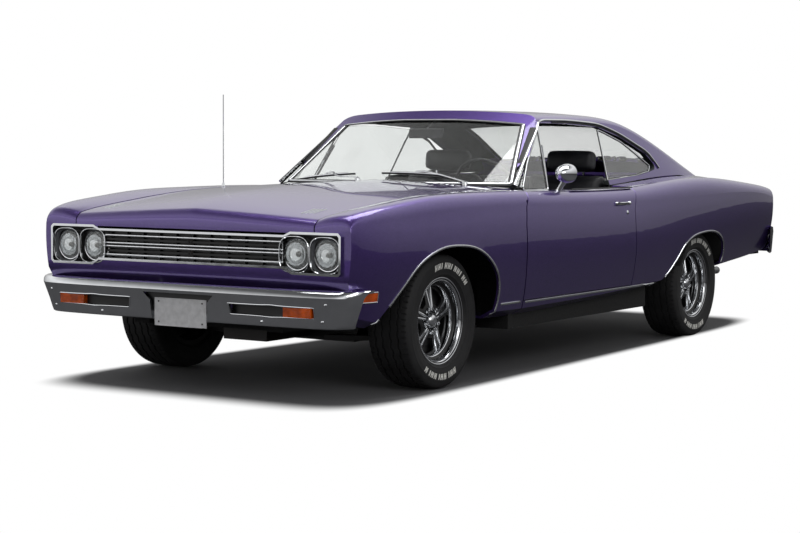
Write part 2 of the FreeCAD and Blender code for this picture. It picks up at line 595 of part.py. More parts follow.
exhaust = pair(fuse([muffler, front_pipe, tail_pipe]))
fuel_tank = prism_y([(-390, 300), (390, 300), (390, REAR_FLOOR_Z - 20 - SEAT_GAP), (-390, REAR_FLOOR_Z - 20 - SEAT_GAP)],
                    3420, 4020, 30)

# Suspension
lower_arm = prism_z([(300, -170), (300, 170), (560, 40), (680, 22), (680, -22), (560, -40)], 214, 238)
upper_arm = prism_z([(RAIL_X + 2, -80), (RAIL_X + 2, 80), (560, 32), (680, 20), (680, -20), (560, -32)], 428, 448)
crossmember = prism_y([(-440, 300), (440, 300), (400, 200), (-400, 200)], -60, 60)
front_suspension = fuse([crossmember, lower_arm, mirror(lower_arm)])
front_suspension = front_suspension.cut(engine).cut(exhaust)
front_suspension = group([front_suspension] + pair(upper_arm).Solids)
leaf = prism_x([(2452, 345), (2946, 262), (3500, 372), (3500, 396), (2946, 290), (2452, 369)], SPRING_X - 30,
               SPRING_X + 30)
axle_tube = cylinder_x(-690, 690, WHEELBASE, TYRE_RADIUS, 38)
pumpkin = Part.makeSphere(130, V(0, WHEELBASE - 10, TYRE_RADIUS)).common(box(-120, 120, 2790, 3100, 200, 446))
backing = pair(cylinder_x(676, 690, WHEELBASE, TYRE_RADIUS, 125))
rear_axle = fuse([axle_tube, pumpkin, leaf, mirror(leaf)] + backing.Solids +
                 pair(cylinder_x(688, TRACK_REAR / 2 + 26, WHEELBASE, TYRE_RADIUS, HUB_BORE_RADIUS - SEAT_GAP)).Solids)
driveline = driveline.cut(rear_axle)


# Wheels
def wheel(x, y):
    rim = [(-98, 207), (-92.3, 207), (-92.3, 190.5), (-60, 190.5), (-50, 172), (50, 172), (60, 190.5), (92.3, 190.5),
           (92.3, 207), (98, 207), (98, 201), (86, 185.5), (64, 185.5), (54, 167), (-54, 167), (-64, 185.5), (-98, 185.5)]
    face = [(14, 36), (30, 36), (42, 70), (30, 130), (22, 169), (14, 169)]
    solid = revolve_x(rim, x, y, TYRE_RADIUS).fuse(revolve_x(face, x, y, TYRE_RADIUS))
    drum = revolve_x([(-54, 60), (14, 60), (14, 122), (-54, 122)], x, y, TYRE_RADIUS)
    hub = revolve_x([(-10, 36), (14, 36), (14, 70), (-10, 70)], x, y, TYRE_RADIUS)
    cap = revolve_x([(28, 0), (52, 0), (60, 20), (56, 32), (30, 40), (28, 40)], x, y, TYRE_RADIUS)
    solid = solid.fuse([hub, cap])
    for i in range(SPOKES):
        hole = outline([V(x, y + py, TYRE_RADIUS + pz) for py, pz in ((-18, 84), (18, 84), (62, 148), (0, 160), (-62, 148))],
                       [6, 6, 12, 0, 12])
        window = Part.Face(hole).extrude(V(60, 0, 0))
        window.rotate(V(x, y, TYRE_RADIUS), V(1, 0, 0), 36 + 360.0 * i / SPOKES)
        solid = solid.cut(window)
    return solid.fuse(drum).removeSplitter()


def tyre(x, y):
    half = TYRE_WIDTH / 2.0
    tread = TREAD_WIDTH / 2.0
    points = [(-tread, 320), (0, TYRE_RADIUS), (tread, 320), (half - 6, 300), (half, 262), (half - 8, 225), (92, 208.5),
              (92, 190.8), (70, 190.8), (74, 212), (half - 20, 240), (half - 16, 280), (tread - 8, 304), (0, 309)]
    profile = points + [(-a, r) for a, r in reversed(points[3:-1])]
    return revolve_x(profile, x, y, TYRE_RADIUS)


wheel_parts = {}
for label, x, y in (("front_left", TRACK_FRONT / 2, 0), ("rear_left", TRACK_REAR / 2, WHEELBASE)):
    wheel_parts["wheel_" + label] = wheel(x, y)
    wheel_parts["tyre_" + label] = tyre(x, y)
for name in list(wheel_parts):
    wheel_parts[name.replace("left", "right")] = mirror(wheel_parts[name])

knuckle_left = fuse([box(670, 694, -28, 28, 238.3, 427.7),
                     cylinder_x(684, TRACK_FRONT / 2 + 26, 0, TYRE_RADIUS, HUB_BORE_RADIUS - SEAT_GAP),
                     cylinder_x(684, 694, 0, TYRE_RADIUS, 80),
                     box(640, 690, -150, -128, 300, 320), box(670, 694, -150, 0, 300, 320)])

# Cabin
DASH_HALF = 700 - SEAT_GAP
dash = prism_x([(770, 905), (1035, 905), (1060, 880), (1040, 760), (980, 690), (770, 690)], -DASH_HALF, DASH_HALF, [0, 12, 12, 12, 12, 0])
WHEEL_CENTRE = V(370, 1262, 902)
COLUMN = V(0, -math.cos(math.radians(24)), -math.sin(math.radians(24)))
column = Part.makeCylinder(28, 300, WHEEL_CENTRE + COLUMN * 45, COLUMN)
dashboard = fuse([dash, column])
ring = Part.makeTorus(190, 11, WHEEL_CENTRE, COLUMN)
side = V(1, 0, 0)
up = side.cross(COLUMN)
hub = Part.makeCylinder(38, 44, WHEEL_CENTRE, COLUMN)
spokes = [Part.makeCylinder(9, 190, WHEEL_CENTRE, direction) for direction in (side, side * -1, up)]
steering_wheel = fuse([ring, hub] + spokes)


def seat(x0, x1, y, z, depth, height, lean):
    cushion = box(x0, x1, y, y + depth, z, z + 150)
    run = height * math.tan(math.radians(lean))
    back = prism_x([(y + depth - 70, z + 60), (y + depth + 60, z + 60), (y + depth + 60 + run, z + 60 + height),
                    (y + depth - 30 + run, z + 60 + height)], x0, x1, [0, 0, 30, 30])
    return fuse([cushion, back])


front_seats = pair(seat(160, 680, 1400, floor_top, 520, 680, 18))
rear_seat = seat(-596, 596, 2330, REAR_FLOOR_Z + SEAT_GAP, 400, 440, 8)
mirror_inside = box(-110, 110, 1225, 1240, 1190, 1245).fuse(rod((0, 1238, 1240), (0, 1356, 1336), 7)).removeSplitter()
mirror_inside = largest(mirror_inside.cut(roof).cut(windshield).cut(cabin_top.cut(cabin_inner)))

# Small outside pieces
antenna = fuse([rod((-790, 430, 922), (-790, 430, 1420), 3), Part.makeCone(14, 5, 26, V(-790, 430, 921), V(0, 0, 1))])
antenna = antenna.cut(pair(fender))
marker = box(900, 958, -781, -647, 463, 503).common(lower_body(-4)).cut(body)
amber_lamps = group(turn_lamps.Solids + pair(largest(marker)).Solids)
tail_lamps = pair(box(330, 810, TAIL_Y + SEAT_GAP, TAIL_Y + 18, 690, 800))

# Door glass, vent windows and the chrome pieces on the doors
DOOR_TOP = BELT_Z - 26 + SEAT_GAP
vent_glass = glass_zone.common(prism_x([(930, DOOR_TOP), (930, 958), (1324, 1243), (1203, DOOR_TOP)], 400, 1200))
vent_bar = glasshouse(4).cut(glasshouse(17)).common(
    prism_x([(1203.5, DOOR_TOP), (1221, DOOR_TOP), (1342, 1240), (1326, 1247)], 400, 1200))
door_glass = glass_zone.common(prism_x([(1222, DOOR_TOP), (1352, 1262), (1670, 1266), (2041, 1250), (1954, DOOR_TOP)],
                                       400, 1200))
handle = box(940, 968, 1660, 1800, 832, 850).cut(body)
head = Part.makeSphere(50, V(915, 1140, 1010)).common(box(800, 1100, 1000, 1160, 900, 1100))
stem = rod((872, 1120, 905), (905, 1135, 985), 11).cut(door_left)
outer_mirror = fuse([head, stem])
vent_glass, vent_bar, door_glass, handle = [largest(s) for s in (vent_glass, vent_bar, door_glass, handle)]
outer_mirror = largest(outer_mirror)
wiper_pieces = []
for x, y in ((330, 800), (-264, 790)):
    wiper_pieces.append(rod((x, y - 40, 940), (x - 20, y + 90, 990), 8))
wipers = [piece.cut(cowl).cut(behind_screen(-6)).cut(front_frame) for piece in wiper_pieces]
wipers = group([largest(piece) for piece in wipers])

pieces_out = [
    ("door_left", door_left), ("door_right", mirror(door_left)),
    ("front_fenders", pair(fender)), ("hood", hood), ("cowl_panel", cowl),
    ("quarter_panels", pair(quarter)), ("rockers", pair(rocker)), ("boot_lid", boot_lid),
    ("tail_panel", tail_panel), ("roof_panel", roof), 
    ("windshield", windshield), ("rear_window", rear_window), ("quarter_windows", pair(quarter_glass)),
    ("front_valance", valance), ("lamp_surround", surround), ("grille", grille), ("headlamps", headlamps),
    ("front_bumper", front_bumper), ("rear_bumper", rear_bumper), ("licence_plate", plate),
    ("amber_lamps", amber_lamps), ("wipers", wipers),
    ("vent_glass_left", vent_glass), ("vent_glass_right", mirror(vent_glass)), ("door_glass_right", mirror(door_glass)),
    ("door_chrome_left", group([vent_bar, handle, outer_mirror])),
    ("door_chrome_right", mirror(group([vent_bar, handle]))), ("floor_pan", floor_pan), ("front_frame", front_frame),
    ("rear_frame", rear_frame), ("engine_block", engine), ("driveline", driveline),
    ("exhaust", exhaust), ("fuel_tank", fuel_tank), ("front_suspension", front_suspension),
    ("rear_axle", rear_axle), ("knuckle_left", knuckle_left), ("knuckle_right", mirror(knuckle_left)),
    ("dashboard", dashboard), ("steering_wheel", steering_wheel), ("front_seats", front_seats), ("rear_seat", rear_seat),
    ("inside_mirror", mirror_inside), ("antenna", antenna), ("tail_lamps", tail_lamps),
] + sorted(wheel_parts.items())
for name, shape in pieces_out:
    save(name, shape)
    print(name, len(shape.Solids), shape.isValid(), [round(v) for v in (shape.BoundBox.XMin, shape.BoundBox.XMax,
          shape.BoundBox.YMin, shape.BoundBox.YMax, shape.BoundBox.ZMin, shape.BoundBox.ZMax)])
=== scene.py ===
import bmesh
import bpy
import json
import math
from bpy.props import FloatProperty, FloatVectorProperty, IntProperty, PointerProperty
from bpy.types import Operator, Panel, PropertyGroup
from mathutils import Matrix, Vector
from mathutils.bvhtree import BVHTree


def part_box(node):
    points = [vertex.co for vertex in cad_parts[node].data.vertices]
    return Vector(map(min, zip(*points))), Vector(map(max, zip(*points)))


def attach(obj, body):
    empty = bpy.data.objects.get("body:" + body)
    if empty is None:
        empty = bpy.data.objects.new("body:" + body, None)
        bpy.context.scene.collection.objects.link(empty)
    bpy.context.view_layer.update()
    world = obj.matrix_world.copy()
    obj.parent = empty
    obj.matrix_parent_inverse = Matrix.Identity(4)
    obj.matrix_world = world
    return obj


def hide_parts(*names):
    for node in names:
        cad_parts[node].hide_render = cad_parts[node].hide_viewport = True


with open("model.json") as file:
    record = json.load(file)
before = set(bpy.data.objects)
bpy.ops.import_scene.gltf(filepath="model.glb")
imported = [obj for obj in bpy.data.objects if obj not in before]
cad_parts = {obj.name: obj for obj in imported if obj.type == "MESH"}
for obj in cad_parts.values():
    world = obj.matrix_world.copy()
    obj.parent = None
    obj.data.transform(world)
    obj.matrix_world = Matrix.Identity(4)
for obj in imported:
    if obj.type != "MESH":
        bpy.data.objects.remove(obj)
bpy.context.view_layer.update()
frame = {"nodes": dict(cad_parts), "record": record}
NODES = frame["nodes"]

bl_info = {
    "name": "Two-door muscle car",
    "version": (1, 0, 0),
    "blender": (4, 5, 0),
    "location": "View3D > Sidebar > Muscle car",
    "description": "Dresses the car's panels, chrome, wheels, lamps and cabin with finishes and fine parts",
    "category": "Object",
}


def centre_of(node):
    low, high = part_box(node)
    return (low + high) / 2


FRONT_AXLE = centre_of("wheel_front_left")
CORNERS = ("front_left", "front_right", "rear_left", "rear_right")
LEFT = Vector((1, 0, 0))
BACK = Vector((0, 1, 0))
UP = Vector((0, 0, 1))


def at(x, y, z):
    """A place given in millimetres, with y measured back from the front axle."""
    return Vector((x / 1000, FRONT_AXLE.y + y / 1000, z / 1000))


def linear(colour):
    """An sRGB hex value as linear RGBA."""
    parts = [int(colour[i:i + 2], 16) / 255 for i in (1, 3, 5)]
    return [p / 12.92 if p <= 0.04045 else ((p + 0.055) / 1.055) ** 2.4 for p in parts] + [1.0]


def colour(name, description, value):
    return FloatVectorProperty(name=name, description=description, default=linear(value), size=4, min=0, max=1,
                               subtype="COLOR")


def length(name, description, metres):
    return FloatProperty(name=name, description=description, default=metres, min=0, unit="LENGTH")


def power(name, description, watts):
    return FloatProperty(name=name, description=description, default=watts, min=0, unit="POWER")


class CarColours(PropertyGroup):
    # paint and paint_shade are one plum basecoat, lit and shaded: each flake is coloured between them as painted
    # glint and painted shade.
    paint: colour("Paint", "Plum metallic basecoat, facing the light", "#5F4890")
    paint_shade: colour("Paint in shade", "Plum basecoat between its flakes", "#3B2A68")
    chrome: colour("Chrome", "Polished chrome plate", "#DFE1E4")
    satin_black: colour("Satin black", "Grille, cowl and wheel pockets", "#0B0B0C")
    rubber: colour("Rubber", "Tyres and seals", "#131314")
    marking: colour("Tyre marking", "Raised white rubber on the sidewall", "#E9E8E2")
    glass: colour("Glass", "Tint of the windows", "#FBFDFC")
    amber: colour("Amber", "Turn lamps and front markers", "#E05A08")
    red: colour("Red", "Tail lamps", "#8E0A0C")
    vinyl: colour("Vinyl", "Seats and door trim", "#15151A")
    plate: colour("Plate", "Blank licence plate", "#D2D2D4")
    underbody: colour("Undercoat", "Sprayed coating under the floor", "#0D0D0D")
    engine: colour("Engine enamel", "Enamel on the engine block", "#1B1412")
    lining: colour("Lining", "Headliner and cabin pillars", "#101614")
    # Near the car the floor takes this grey: a painted shadow, a pool round the car's footprint.
    floor: colour("Floor", "Studio floor near the car", "#656567")
    # This grey on the outer lamp wells is painted light: they are drawn lighter than the satin black inner wells.
    argent: colour("Argent", "Silver-grey enamel in the lamp wells", "#77797D")


class CarSizes(PropertyGroup):
    lip_width: length("Lip width", "Width of the bright lip round a wheel arch", 0.012)
    lip_height: length("Lip height", "How far the lip stands off the panel", 0.004)
    rail_width: length("Rail width", "Width of the drip rail's bright cover", 0.014)
    seal_width: length("Seal width", "Width of the rubber round the glass", 0.012)
    tread_depth: length("Tread depth", "Depth of the grooves in the tyres", 0.007)
    tread_blocks: IntProperty(name="Tread blocks", description="Blocks round each tyre", default=72, min=12)
    bar_height: length("Bar height", "Height of a bright bar in the grille", 0.009)


class StageSizes(PropertyGroup):
    floor_radius: length("Floor radius", "Radius of the studio floor", 40.0)
    key_power: power("Top light", "Power of the light above", 330.0)
    side_power: power("Side light", "Power of the side light", 90.0)
    card_power: power("Front card", "Power of the card ahead of the grille", 60.0)
    sky: FloatProperty(name="Sky", description="Strength of the light from all round", default=0.35, min=0)


def colours():
    return bpy.context.scene.car_colours


def sizes():
    return bpy.context.scene.car_sizes


# Finishes

def per_m(millimetres):
    """The texture scale at which one cell of a pattern is that long."""
    return 1000.0 / millimetres


def add(tree, kind, values=None, links=None, **settings):
    """Adds a shader node, sets it up and links its inputs to the outputs given."""
    node = tree.nodes.new(kind)
    for key, value in settings.items():
        setattr(node, key, value)
    for socket, value in (values or {}).items():
        node.inputs[socket].default_value = value
    for socket, source in (links or {}).items():
        tree.links.new(source, node.inputs[socket])
    return node


def maths(tree, operation, *inputs):
    """What a Math node makes of some numbers and outputs."""
    values = {i: item for i, item in enumerate(inputs) if isinstance(item, float)}
    links = {i: item for i, item in enumerate(inputs) if i not in values}
    return add(tree, "ShaderNodeMath", values, links, operation=operation).outputs[0]


def finish(**sockets):
    """Makes a material's function from one that only patterns its shader."""
    def patterned(pattern):
        def make():
            material = bpy.data.materials.new(pattern.__name__)
            material.use_nodes = True
            tree = material.node_tree
            shader = tree.nodes["Principled BSDF"]
            for socket, value in sockets.items():
                shader.inputs[socket.replace("_", " ")].default_value = value
            pattern(colours(), tree, shader, add(tree, "ShaderNodeTexCoord").outputs["Object"])
            return material
        make.__name__ = pattern.__name__
        return make
    return patterned


def noise(tree, place, size, detail=3.0):
    return add(tree, "ShaderNodeTexNoise", {"Scale": per_m(size), "Detail": detail}, {"Vector": place}).outputs["Fac"]


def shade(tree, shader, pattern, dark, light, low=0.35, high=0.65):
    """Colours the shader between two colours by a pattern."""
    ramp = add(tree, "ShaderNodeValToRGB", links={"Fac": pattern})
    ends = ramp.color_ramp.elements
    ends[0].position, ends[1].position = low, high
    ends[0].color, ends[1].color = dark, light
    tree.links.new(ramp.outputs["Color"], shader.inputs["Base Color"])


def vary(tree, shader, pattern, low, high):
    """Lets the roughness follow a pattern."""
    span = add(tree, "ShaderNodeMapRange", {"To Min": low, "To Max": high}, {"Value": pattern})
    tree.links.new(span.outputs[0], shader.inputs["Roughness"])


def relief(tree, shader, pattern, height, socket="Normal"):
    """Raises the surface by a pattern, its height in millimetres."""
    node = add(tree, "ShaderNodeBump", {"Distance": height / 1000}, {"Height": pattern})
    tree.links.new(node.outputs[0], shader.inputs[socket])


def scaled(value, amount):
    return [part * amount for part in value[:3]] + [1.0]


@finish(Metallic=0.85, Roughness=0.34, Coat_Weight=1.0, Coat_Roughness=0.02)
def sprayed_plum_basecoat(own, tree, shader, place):
    # Steel panels, sprayed metallic base under clear coat: lighter flakes are painted glints and darker flakes
    # painted shade in the body colour, and the clear adds a sharp reflection over a soft one. Real flakes are 0.05
    # mm; they are drawn 1 mm wide to show.
    flakes = add(tree, "ShaderNodeTexVoronoi", {"Scale": per_m(1.0)}, {"Vector": place}).outputs["Color"]
    painted_flake_glint = add(tree, "ShaderNodeSeparateColor", links={"Color": flakes}).outputs[0]
    shade(tree, shader, painted_flake_glint, own.paint_shade, own.paint, 0.0, 0.9)
    vary(tree, shader, painted_flake_glint, 0.28, 0.42)
    relief(tree, shader, noise(tree, place, 9.0, 1.0), 0.012, "Coat Normal")


@finish(Metallic=1.0, Roughness=0.06)
def polished_chrome(own, tree, shader, place):
    # Steel, copper, nickel and chrome plated and buffed: mirror bright, with slight waves and wipe marks.
    cloud = noise(tree, place, 60.0, 4.0)
    shade(tree, shader, cloud, scaled(own.chrome, 0.93), own.chrome)
    vary(tree, shader, cloud, 0.03, 0.09)
    relief(tree, shader, noise(tree, place, 160.0, 1.0), 0.12)


@finish(Metallic=1.0, Roughness=0.16)
def anodised_moulding(own, tree, shader, place):
    # Aluminium strip, rolled, brightened and anodised: a little softer and greyer than chrome.
    grain = noise(tree, place, 14.0, 4.0)
    shade(tree, shader, grain, scaled(own.chrome, 0.72), scaled(own.chrome, 0.92))
    vary(tree, shader, grain, 0.12, 0.22)


@finish(Roughness=0.42)
def satin_black_enamel(own, tree, shader, place):
    # Enamel sprayed on pressed steel: deep black, soft highlights, faint orange peel.
    peel = noise(tree, place, 5.0, 2.0)
    shade(tree, shader, peel, scaled(own.satin_black, 0.7), scaled(own.satin_black, 1.5))
    vary(tree, shader, peel, 0.36, 0.5)
    relief(tree, shader, peel, 0.04)


@finish(Metallic=0.4, Roughness=0.42)
def sprayed_argent_enamel(own, tree, shader, place):
    # Silver-grey enamel on the outer lamp wells, painted light: lighter than the inner wells' satin black where light
    # falls on them. A fine metallic, soft and slightly cloudy.
    cloud = noise(tree, place, 18.0, 3.0)
    shade(tree, shader, cloud, scaled(own.argent, 0.8), own.argent)
    vary(tree, shader, cloud, 0.36, 0.5)


@finish(Roughness=0.75)
def stitched_headliner(own, tree, shader, place):
    # Perforated vinyl stretched over bows: near black, matt, dimpled every 6 mm.
    holes = add(tree, "ShaderNodeTexVoronoi", {"Scale": per_m(6.0)}, {"Vector": place}).outputs["Distance"]
    shade(tree, shader, noise(tree, place, 120.0), own.lining, scaled(own.lining, 1.6))
    vary(tree, shader, holes, 0.68, 0.82)
    relief(tree, shader, holes, 0.3)


@finish(Roughness=0.72)
def moulded_tyre_rubber(own, tree, shader, place):
    # Vulcanised rubber out of a mould: matt, slightly grey where it is dusty, with a fine skin.
    dust = noise(tree, place, 45.0, 5.0)
    shade(tree, shader, dust, own.rubber, scaled(own.rubber, 2.0))
    vary(tree, shader, dust, 0.62, 0.82)
    relief(tree, shader, noise(tree, place, 1.6, 2.0), 0.08)


@finish(Roughness=0.68)
def raised_white_rubber(own, tree, shader, place):
    # White rubber cured into the sidewall and buffed: chalky, a little yellowed.
    stain = noise(tree, place, 12.0, 4.0)
    shade(tree, shader, stain, scaled(own.marking, 0.8), own.marking)
    relief(tree, shader, noise(tree, place, 2.0, 2.0), 0.05)


@finish(Roughness=0.6)
def extruded_rubber_seal(own, tree, shader, place):
    # Extruded weather strip: dull black with long faint die lines.
    lines = noise(tree, place, 3.0, 2.0)
    shade(tree, shader, lines, scaled(own.rubber, 0.5), scaled(own.rubber, 1.1))
    vary(tree, shader, lines, 0.52, 0.7)


@finish(Roughness=0.0, IOR=1.45, Transmission_Weight=1.0, Specular_IOR_Level=0.12)
def float_glass(own, tree, shader, place):
    # Tempered window glass, float made: clear, faintly green, with the slightest waviness. Studio flags keep
    # reflections off it, so they are weak here.
    wave = noise(tree, place, 220.0, 1.0)
    shade(tree, shader, wave, scaled(own.glass, 0.97), own.glass)
    relief(tree, shader, wave, 0.05)


# A wave texture turns 20 radians in a metre at scale 1, so with this factor the flutes are 18 mm wide.
WAVE_STRETCH = 0.16


@finish(Roughness=0.03, IOR=1.47, Transmission_Weight=0.92)
def pressed_lamp_glass(own, tree, shader, place):
    # Pressed borosilicate with moulded flutes and lens steps: clear, full of small prisms.
    flutes = add(tree, "ShaderNodeTexWave", {"Scale": per_m(9.0) * WAVE_STRETCH, "Distortion": 0.6, "Detail": 1.0},
                 {"Vector": place}, wave_type="BANDS", bands_direction="X").outputs["Fac"]
    pips = noise(tree, place, 11.0, 1.0)
    mixed = maths(tree, "ADD", flutes, pips)
    shade(tree, shader, pips, scaled(own.glass, 0.97), own.glass)
    relief(tree, shader, mixed, 0.35)


def lens_cells(tree, shader, place, tone):
    """Prism cells on the inside of a lens that break up the light."""
    cells = add(tree, "ShaderNodeTexVoronoi", {"Scale": per_m(7.0)}, {"Vector": place}).outputs["Distance"]
    glow = noise(tree, place, 40.0, 2.0)
    shade(tree, shader, glow, scaled(tone, 0.45), tone, 0.3, 0.7)
    relief(tree, shader, cells, 0.5)


@finish(Roughness=0.12, IOR=1.49, Coat_Weight=0.6, Coat_Roughness=0.04)
def moulded_amber_lens(own, tree, shader, place):
    # Injection-moulded acrylic: amber all through and glossy, lively behind its prism cells.
    lens_cells(tree, shader, place, own.amber)


@finish(Roughness=0.12, IOR=1.49, Coat_Weight=0.6, Coat_Roughness=0.04)
def moulded_red_lens(own, tree, shader, place):
    # Injection-moulded acrylic: deep red all through and glossy, lively behind its prism cells.
    lens_cells(tree, shader, place, own.red)


@finish(Metallic=0.1, Roughness=0.5)
def stamped_plate_steel(own, tree, shader, place):
    # Stamped sheet with a thin grey paint: flat, lightly scuffed.
    scuff = noise(tree, place, 30.0, 6.0)
    shade(tree, shader, scuff, scaled(own.plate, 0.86), scaled(own.plate, 1.06))
    vary(tree, shader, scuff, 0.42, 0.6)


@finish(Roughness=0.5)
def grained_vinyl(own, tree, shader, place):
    # Vinyl skin embossed with a leather grain about 2 mm wide: low sheen that breaks up over the grain.
    grain = add(tree, "ShaderNodeTexVoronoi", {"Scale": per_m(3.0)}, {"Vector": place}).outputs["Distance"]
    shade(tree, shader, noise(tree, place, 80.0), own.vinyl, scaled(own.vinyl, 1.7))
    vary(tree, shader, grain, 0.42, 0.62)
    relief(tree, shader, grain, 0.35)


@finish(Roughness=0.55)
def moulded_cabin_plastic(own, tree, shader, place):
    # Moulded ABS with a stippled face: dark, even, soft highlights.
    stipple = noise(tree, place, 1.8, 2.0)
    shade(tree, shader, noise(tree, place, 60.0), scaled(own.vinyl, 0.8), scaled(own.vinyl, 1.5))
    vary(tree, shader, stipple, 0.48, 0.62)
    relief(tree, shader, stipple, 0.15)


@finish(Roughness=0.95, Sheen_Weight=0.2)
def looped_carpet(own, tree, shader, place):
    # Looped nylon carpet: black, fully matt, with 4 mm tufts.
    tufts = add(tree, "ShaderNodeTexVoronoi", {"Scale": per_m(4.0)}, {"Vector": place}).outputs["Distance"]
    shade(tree, shader, tufts, scaled(own.vinyl, 1.4), scaled(own.vinyl, 0.5), 0.1, 0.7)
    relief(tree, shader, tufts, 1.5)


@finish(Roughness=0.85)
def sprayed_undercoat(own, tree, shader, place):
    # Bitumen coating sprayed over the pressings: lumpy, matt black, lighter on the high spots.
    lumps = noise(tree, place, 12.0, 5.0)
    shade(tree, shader, lumps, own.underbody, scaled(own.underbody, 2.4))
    relief(tree, shader, lumps, 0.8)


@finish(Roughness=0.45)
def brushed_engine_enamel(own, tree, shader, place):
    # High-heat enamel on rough cast iron: brown black, with the casting's grain showing through.
    cast = noise(tree, place, 3.0, 4.0)
    shade(tree, shader, noise(tree, place, 90.0), scaled(own.engine, 0.6), own.engine)
    vary(tree, shader, cast, 0.35, 0.6)
    relief(tree, shader, cast, 0.5)


@finish(Metallic=0.8, Roughness=0.45)
def drawn_exhaust_steel(own, tree, shader, place):
    # Aluminised tube: grey, cloudy with heat and road dust.
    heat = noise(tree, place, 70.0, 5.0)
    shade(tree, shader, heat, scaled(own.chrome, 0.12), scaled(own.chrome, 0.4))
    vary(tree, shader, heat, 0.35, 0.62)


@finish(Metallic=0.6, Roughness=0.6)
def cast_grey_iron(own, tree, shader, place):
    # Sand-cast and machined iron: dark grey with rust freckles in the pores.
    pores = noise(tree, place, 8.0, 6.0)
    shade(tree, shader, pores, linear("#2A201B"), linear("#4A4846"))
    relief(tree, shader, pores, 0.3)


@finish(Metallic=1.0, Roughness=0.02)
def silvered_mirror(own, tree, shader, place):
    # Flat glass silvered at the back: a clean reflection with a faint haze.
    haze = noise(tree, place, 50.0)
    shade(tree, shader, haze, scaled(own.chrome, 0.8), scaled(own.chrome, 0.9))
    vary(tree, shader, haze, 0.01, 0.04)


def use(make):
    """The material that a function makes, made only once."""
    return bpy.data.materials.get(make.__name__) or make()


# Making meshes

class Shape:
    """Collects the faces of one piece. Each set of faces carries the number of its finish."""

    def __init__(self):
        self.points, self.faces, self.numbers = [], [], []

    def add(self, points, faces, number=0):
        start = len(self.points)
        self.points += [Vector(point) for point in points]
        self.faces += [[start + i for i in face] for face in faces]
        self.numbers += [number] * len(faces)
        return self

    def join(self, other):
        start = len(self.points)
        self.points += other.points
        self.faces += [[start + i for i in face] for face in other.faces]
        self.numbers += other.numbers
        return self

    def changed(self, change, turned=False):
        """A copy with every point changed, and its faces turned round if asked."""
        other = Shape()
        other.points = [change(p) for p in self.points]
        other.faces = [face[::-1] if turned else list(face) for face in self.faces]
        other.numbers = list(self.numbers)
        return other

    def mirrored(self):
        return self.changed(lambda p: Vector((-p.x, p.y, p.z)), True)

    def both(self):
        """This shape with its mirror image on the car's right."""
        return Shape().join(self).join(self.mirrored())

    def moved(self, matrix):
        return self.changed(lambda p: matrix @ p)

    def mesh(self, name):
        mesh = bpy.data.meshes.new(name)
        mesh.from_pydata([tuple(p) for p in self.points], [], self.faces)
        mesh.polygons.foreach_set("material_index", self.numbers)
        return mesh

    def piece(self, name, body, makes, slot, stands_for=(), sharp=35.0, cuts=()):
        """Makes the mesh, smooths it up to the sharp angle in degrees, and lets it ride on a body."""
        mesh = carved(self.mesh(name), cuts)
        work = bmesh.new()
        work.from_mesh(mesh)
        bmesh.ops.remove_doubles(work, verts=work.verts, dist=1e-5)
        bmesh.ops.recalc_face_normals(work, faces=work.faces)
        limit = math.radians(sharp)
        for edge in work.edges:
            edge.smooth = len(edge.link_faces) == 2 and edge.calc_face_angle(0.0) < limit
        for face in work.faces:
            face.smooth = True
        work.to_mesh(mesh)
        work.free()
        for make in makes:
            mesh.materials.append(use(make))
        piece = bpy.data.objects.new(name, mesh)
        bpy.context.scene.collection.objects.link(piece)
        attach(piece, body)
        if stands_for:
            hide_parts(*stands_for)
        return piece


def carved(mesh, cuts):
    """Cuts closed shapes out of a mesh."""
    for cut in cuts:
        block_object = bpy.data.objects.new("blank", mesh)
        tool = bpy.data.objects.new("tool", cut.mesh("tool"))
        for item in (block_object, tool):
            bpy.context.scene.collection.objects.link(item)
        step = block_object.modifiers.new("Cut", "BOOLEAN")
        step.operation, step.object, step.solver = "DIFFERENCE", tool, "EXACT"
        mesh = bpy.data.meshes.new_from_object(block_object.evaluated_get(bpy.context.evaluated_depsgraph_get()))
        for item in (block_object, tool):
            bpy.data.objects.remove(item)
    return mesh


def rings(shape, rows, number=0, round_row=True, round_all=False, caps=True):
    """Joins rows of points of equal length with faces."""
    count = len(rows[0])
    faces = []
    for i in range(len(rows) if round_all else len(rows) - 1):
        a, b = i * count, (i + 1) % len(rows) * count
        for j in range(count if round_row else count - 1):
            k = (j + 1) % count
            faces.append([a + j, a + k, b + k, b + j])
    if caps and round_row and not round_all:
        faces += [list(reversed(range(count))), [(len(rows) - 1) * count + j for j in range(count)]]
    return shape.add([p for row in rows for p in row], faces, number)


def sweep(shape, path, ups, profile, number=0, closed=False):
    """Runs a profile of (across, out) metres along a path; ups are the outward directions, or one for all."""
    ups = ups if isinstance(ups, list) else [ups] * len(path)
    rows = []
    last = len(path) - 1
    for i, here in enumerate(path):
        before = path[i - 1] if i or closed else here
        after = path[(i + 1) % len(path)] if i < last or closed else here
        tangent = (after - before).normalized()
        across = tangent.cross(ups[i]).normalized()
        out = across.cross(tangent).normalized()
        rows.append([here + across * a + out * b for a, b in profile])
    return rings(shape, rows, number, round_all=closed)


def revolve(shape, profile, centre, axis, number=0, turns=48, closed=False, start=0.0):
    """Turns a profile of (along, radius) about an axis through centre."""
    axis = Vector(axis).normalized()
    side = axis.orthogonal().normalized()
    third = axis.cross(side)
    rows = []
    for i in range(turns):
        angle = start + 2 * math.pi * i / turns
        spoke = side * math.cos(angle) + third * math.sin(angle)
        rows.append([centre + axis * a + spoke * r for a, r in profile])
    return rings(shape, rows, number, round_row=closed, round_all=True, caps=False)


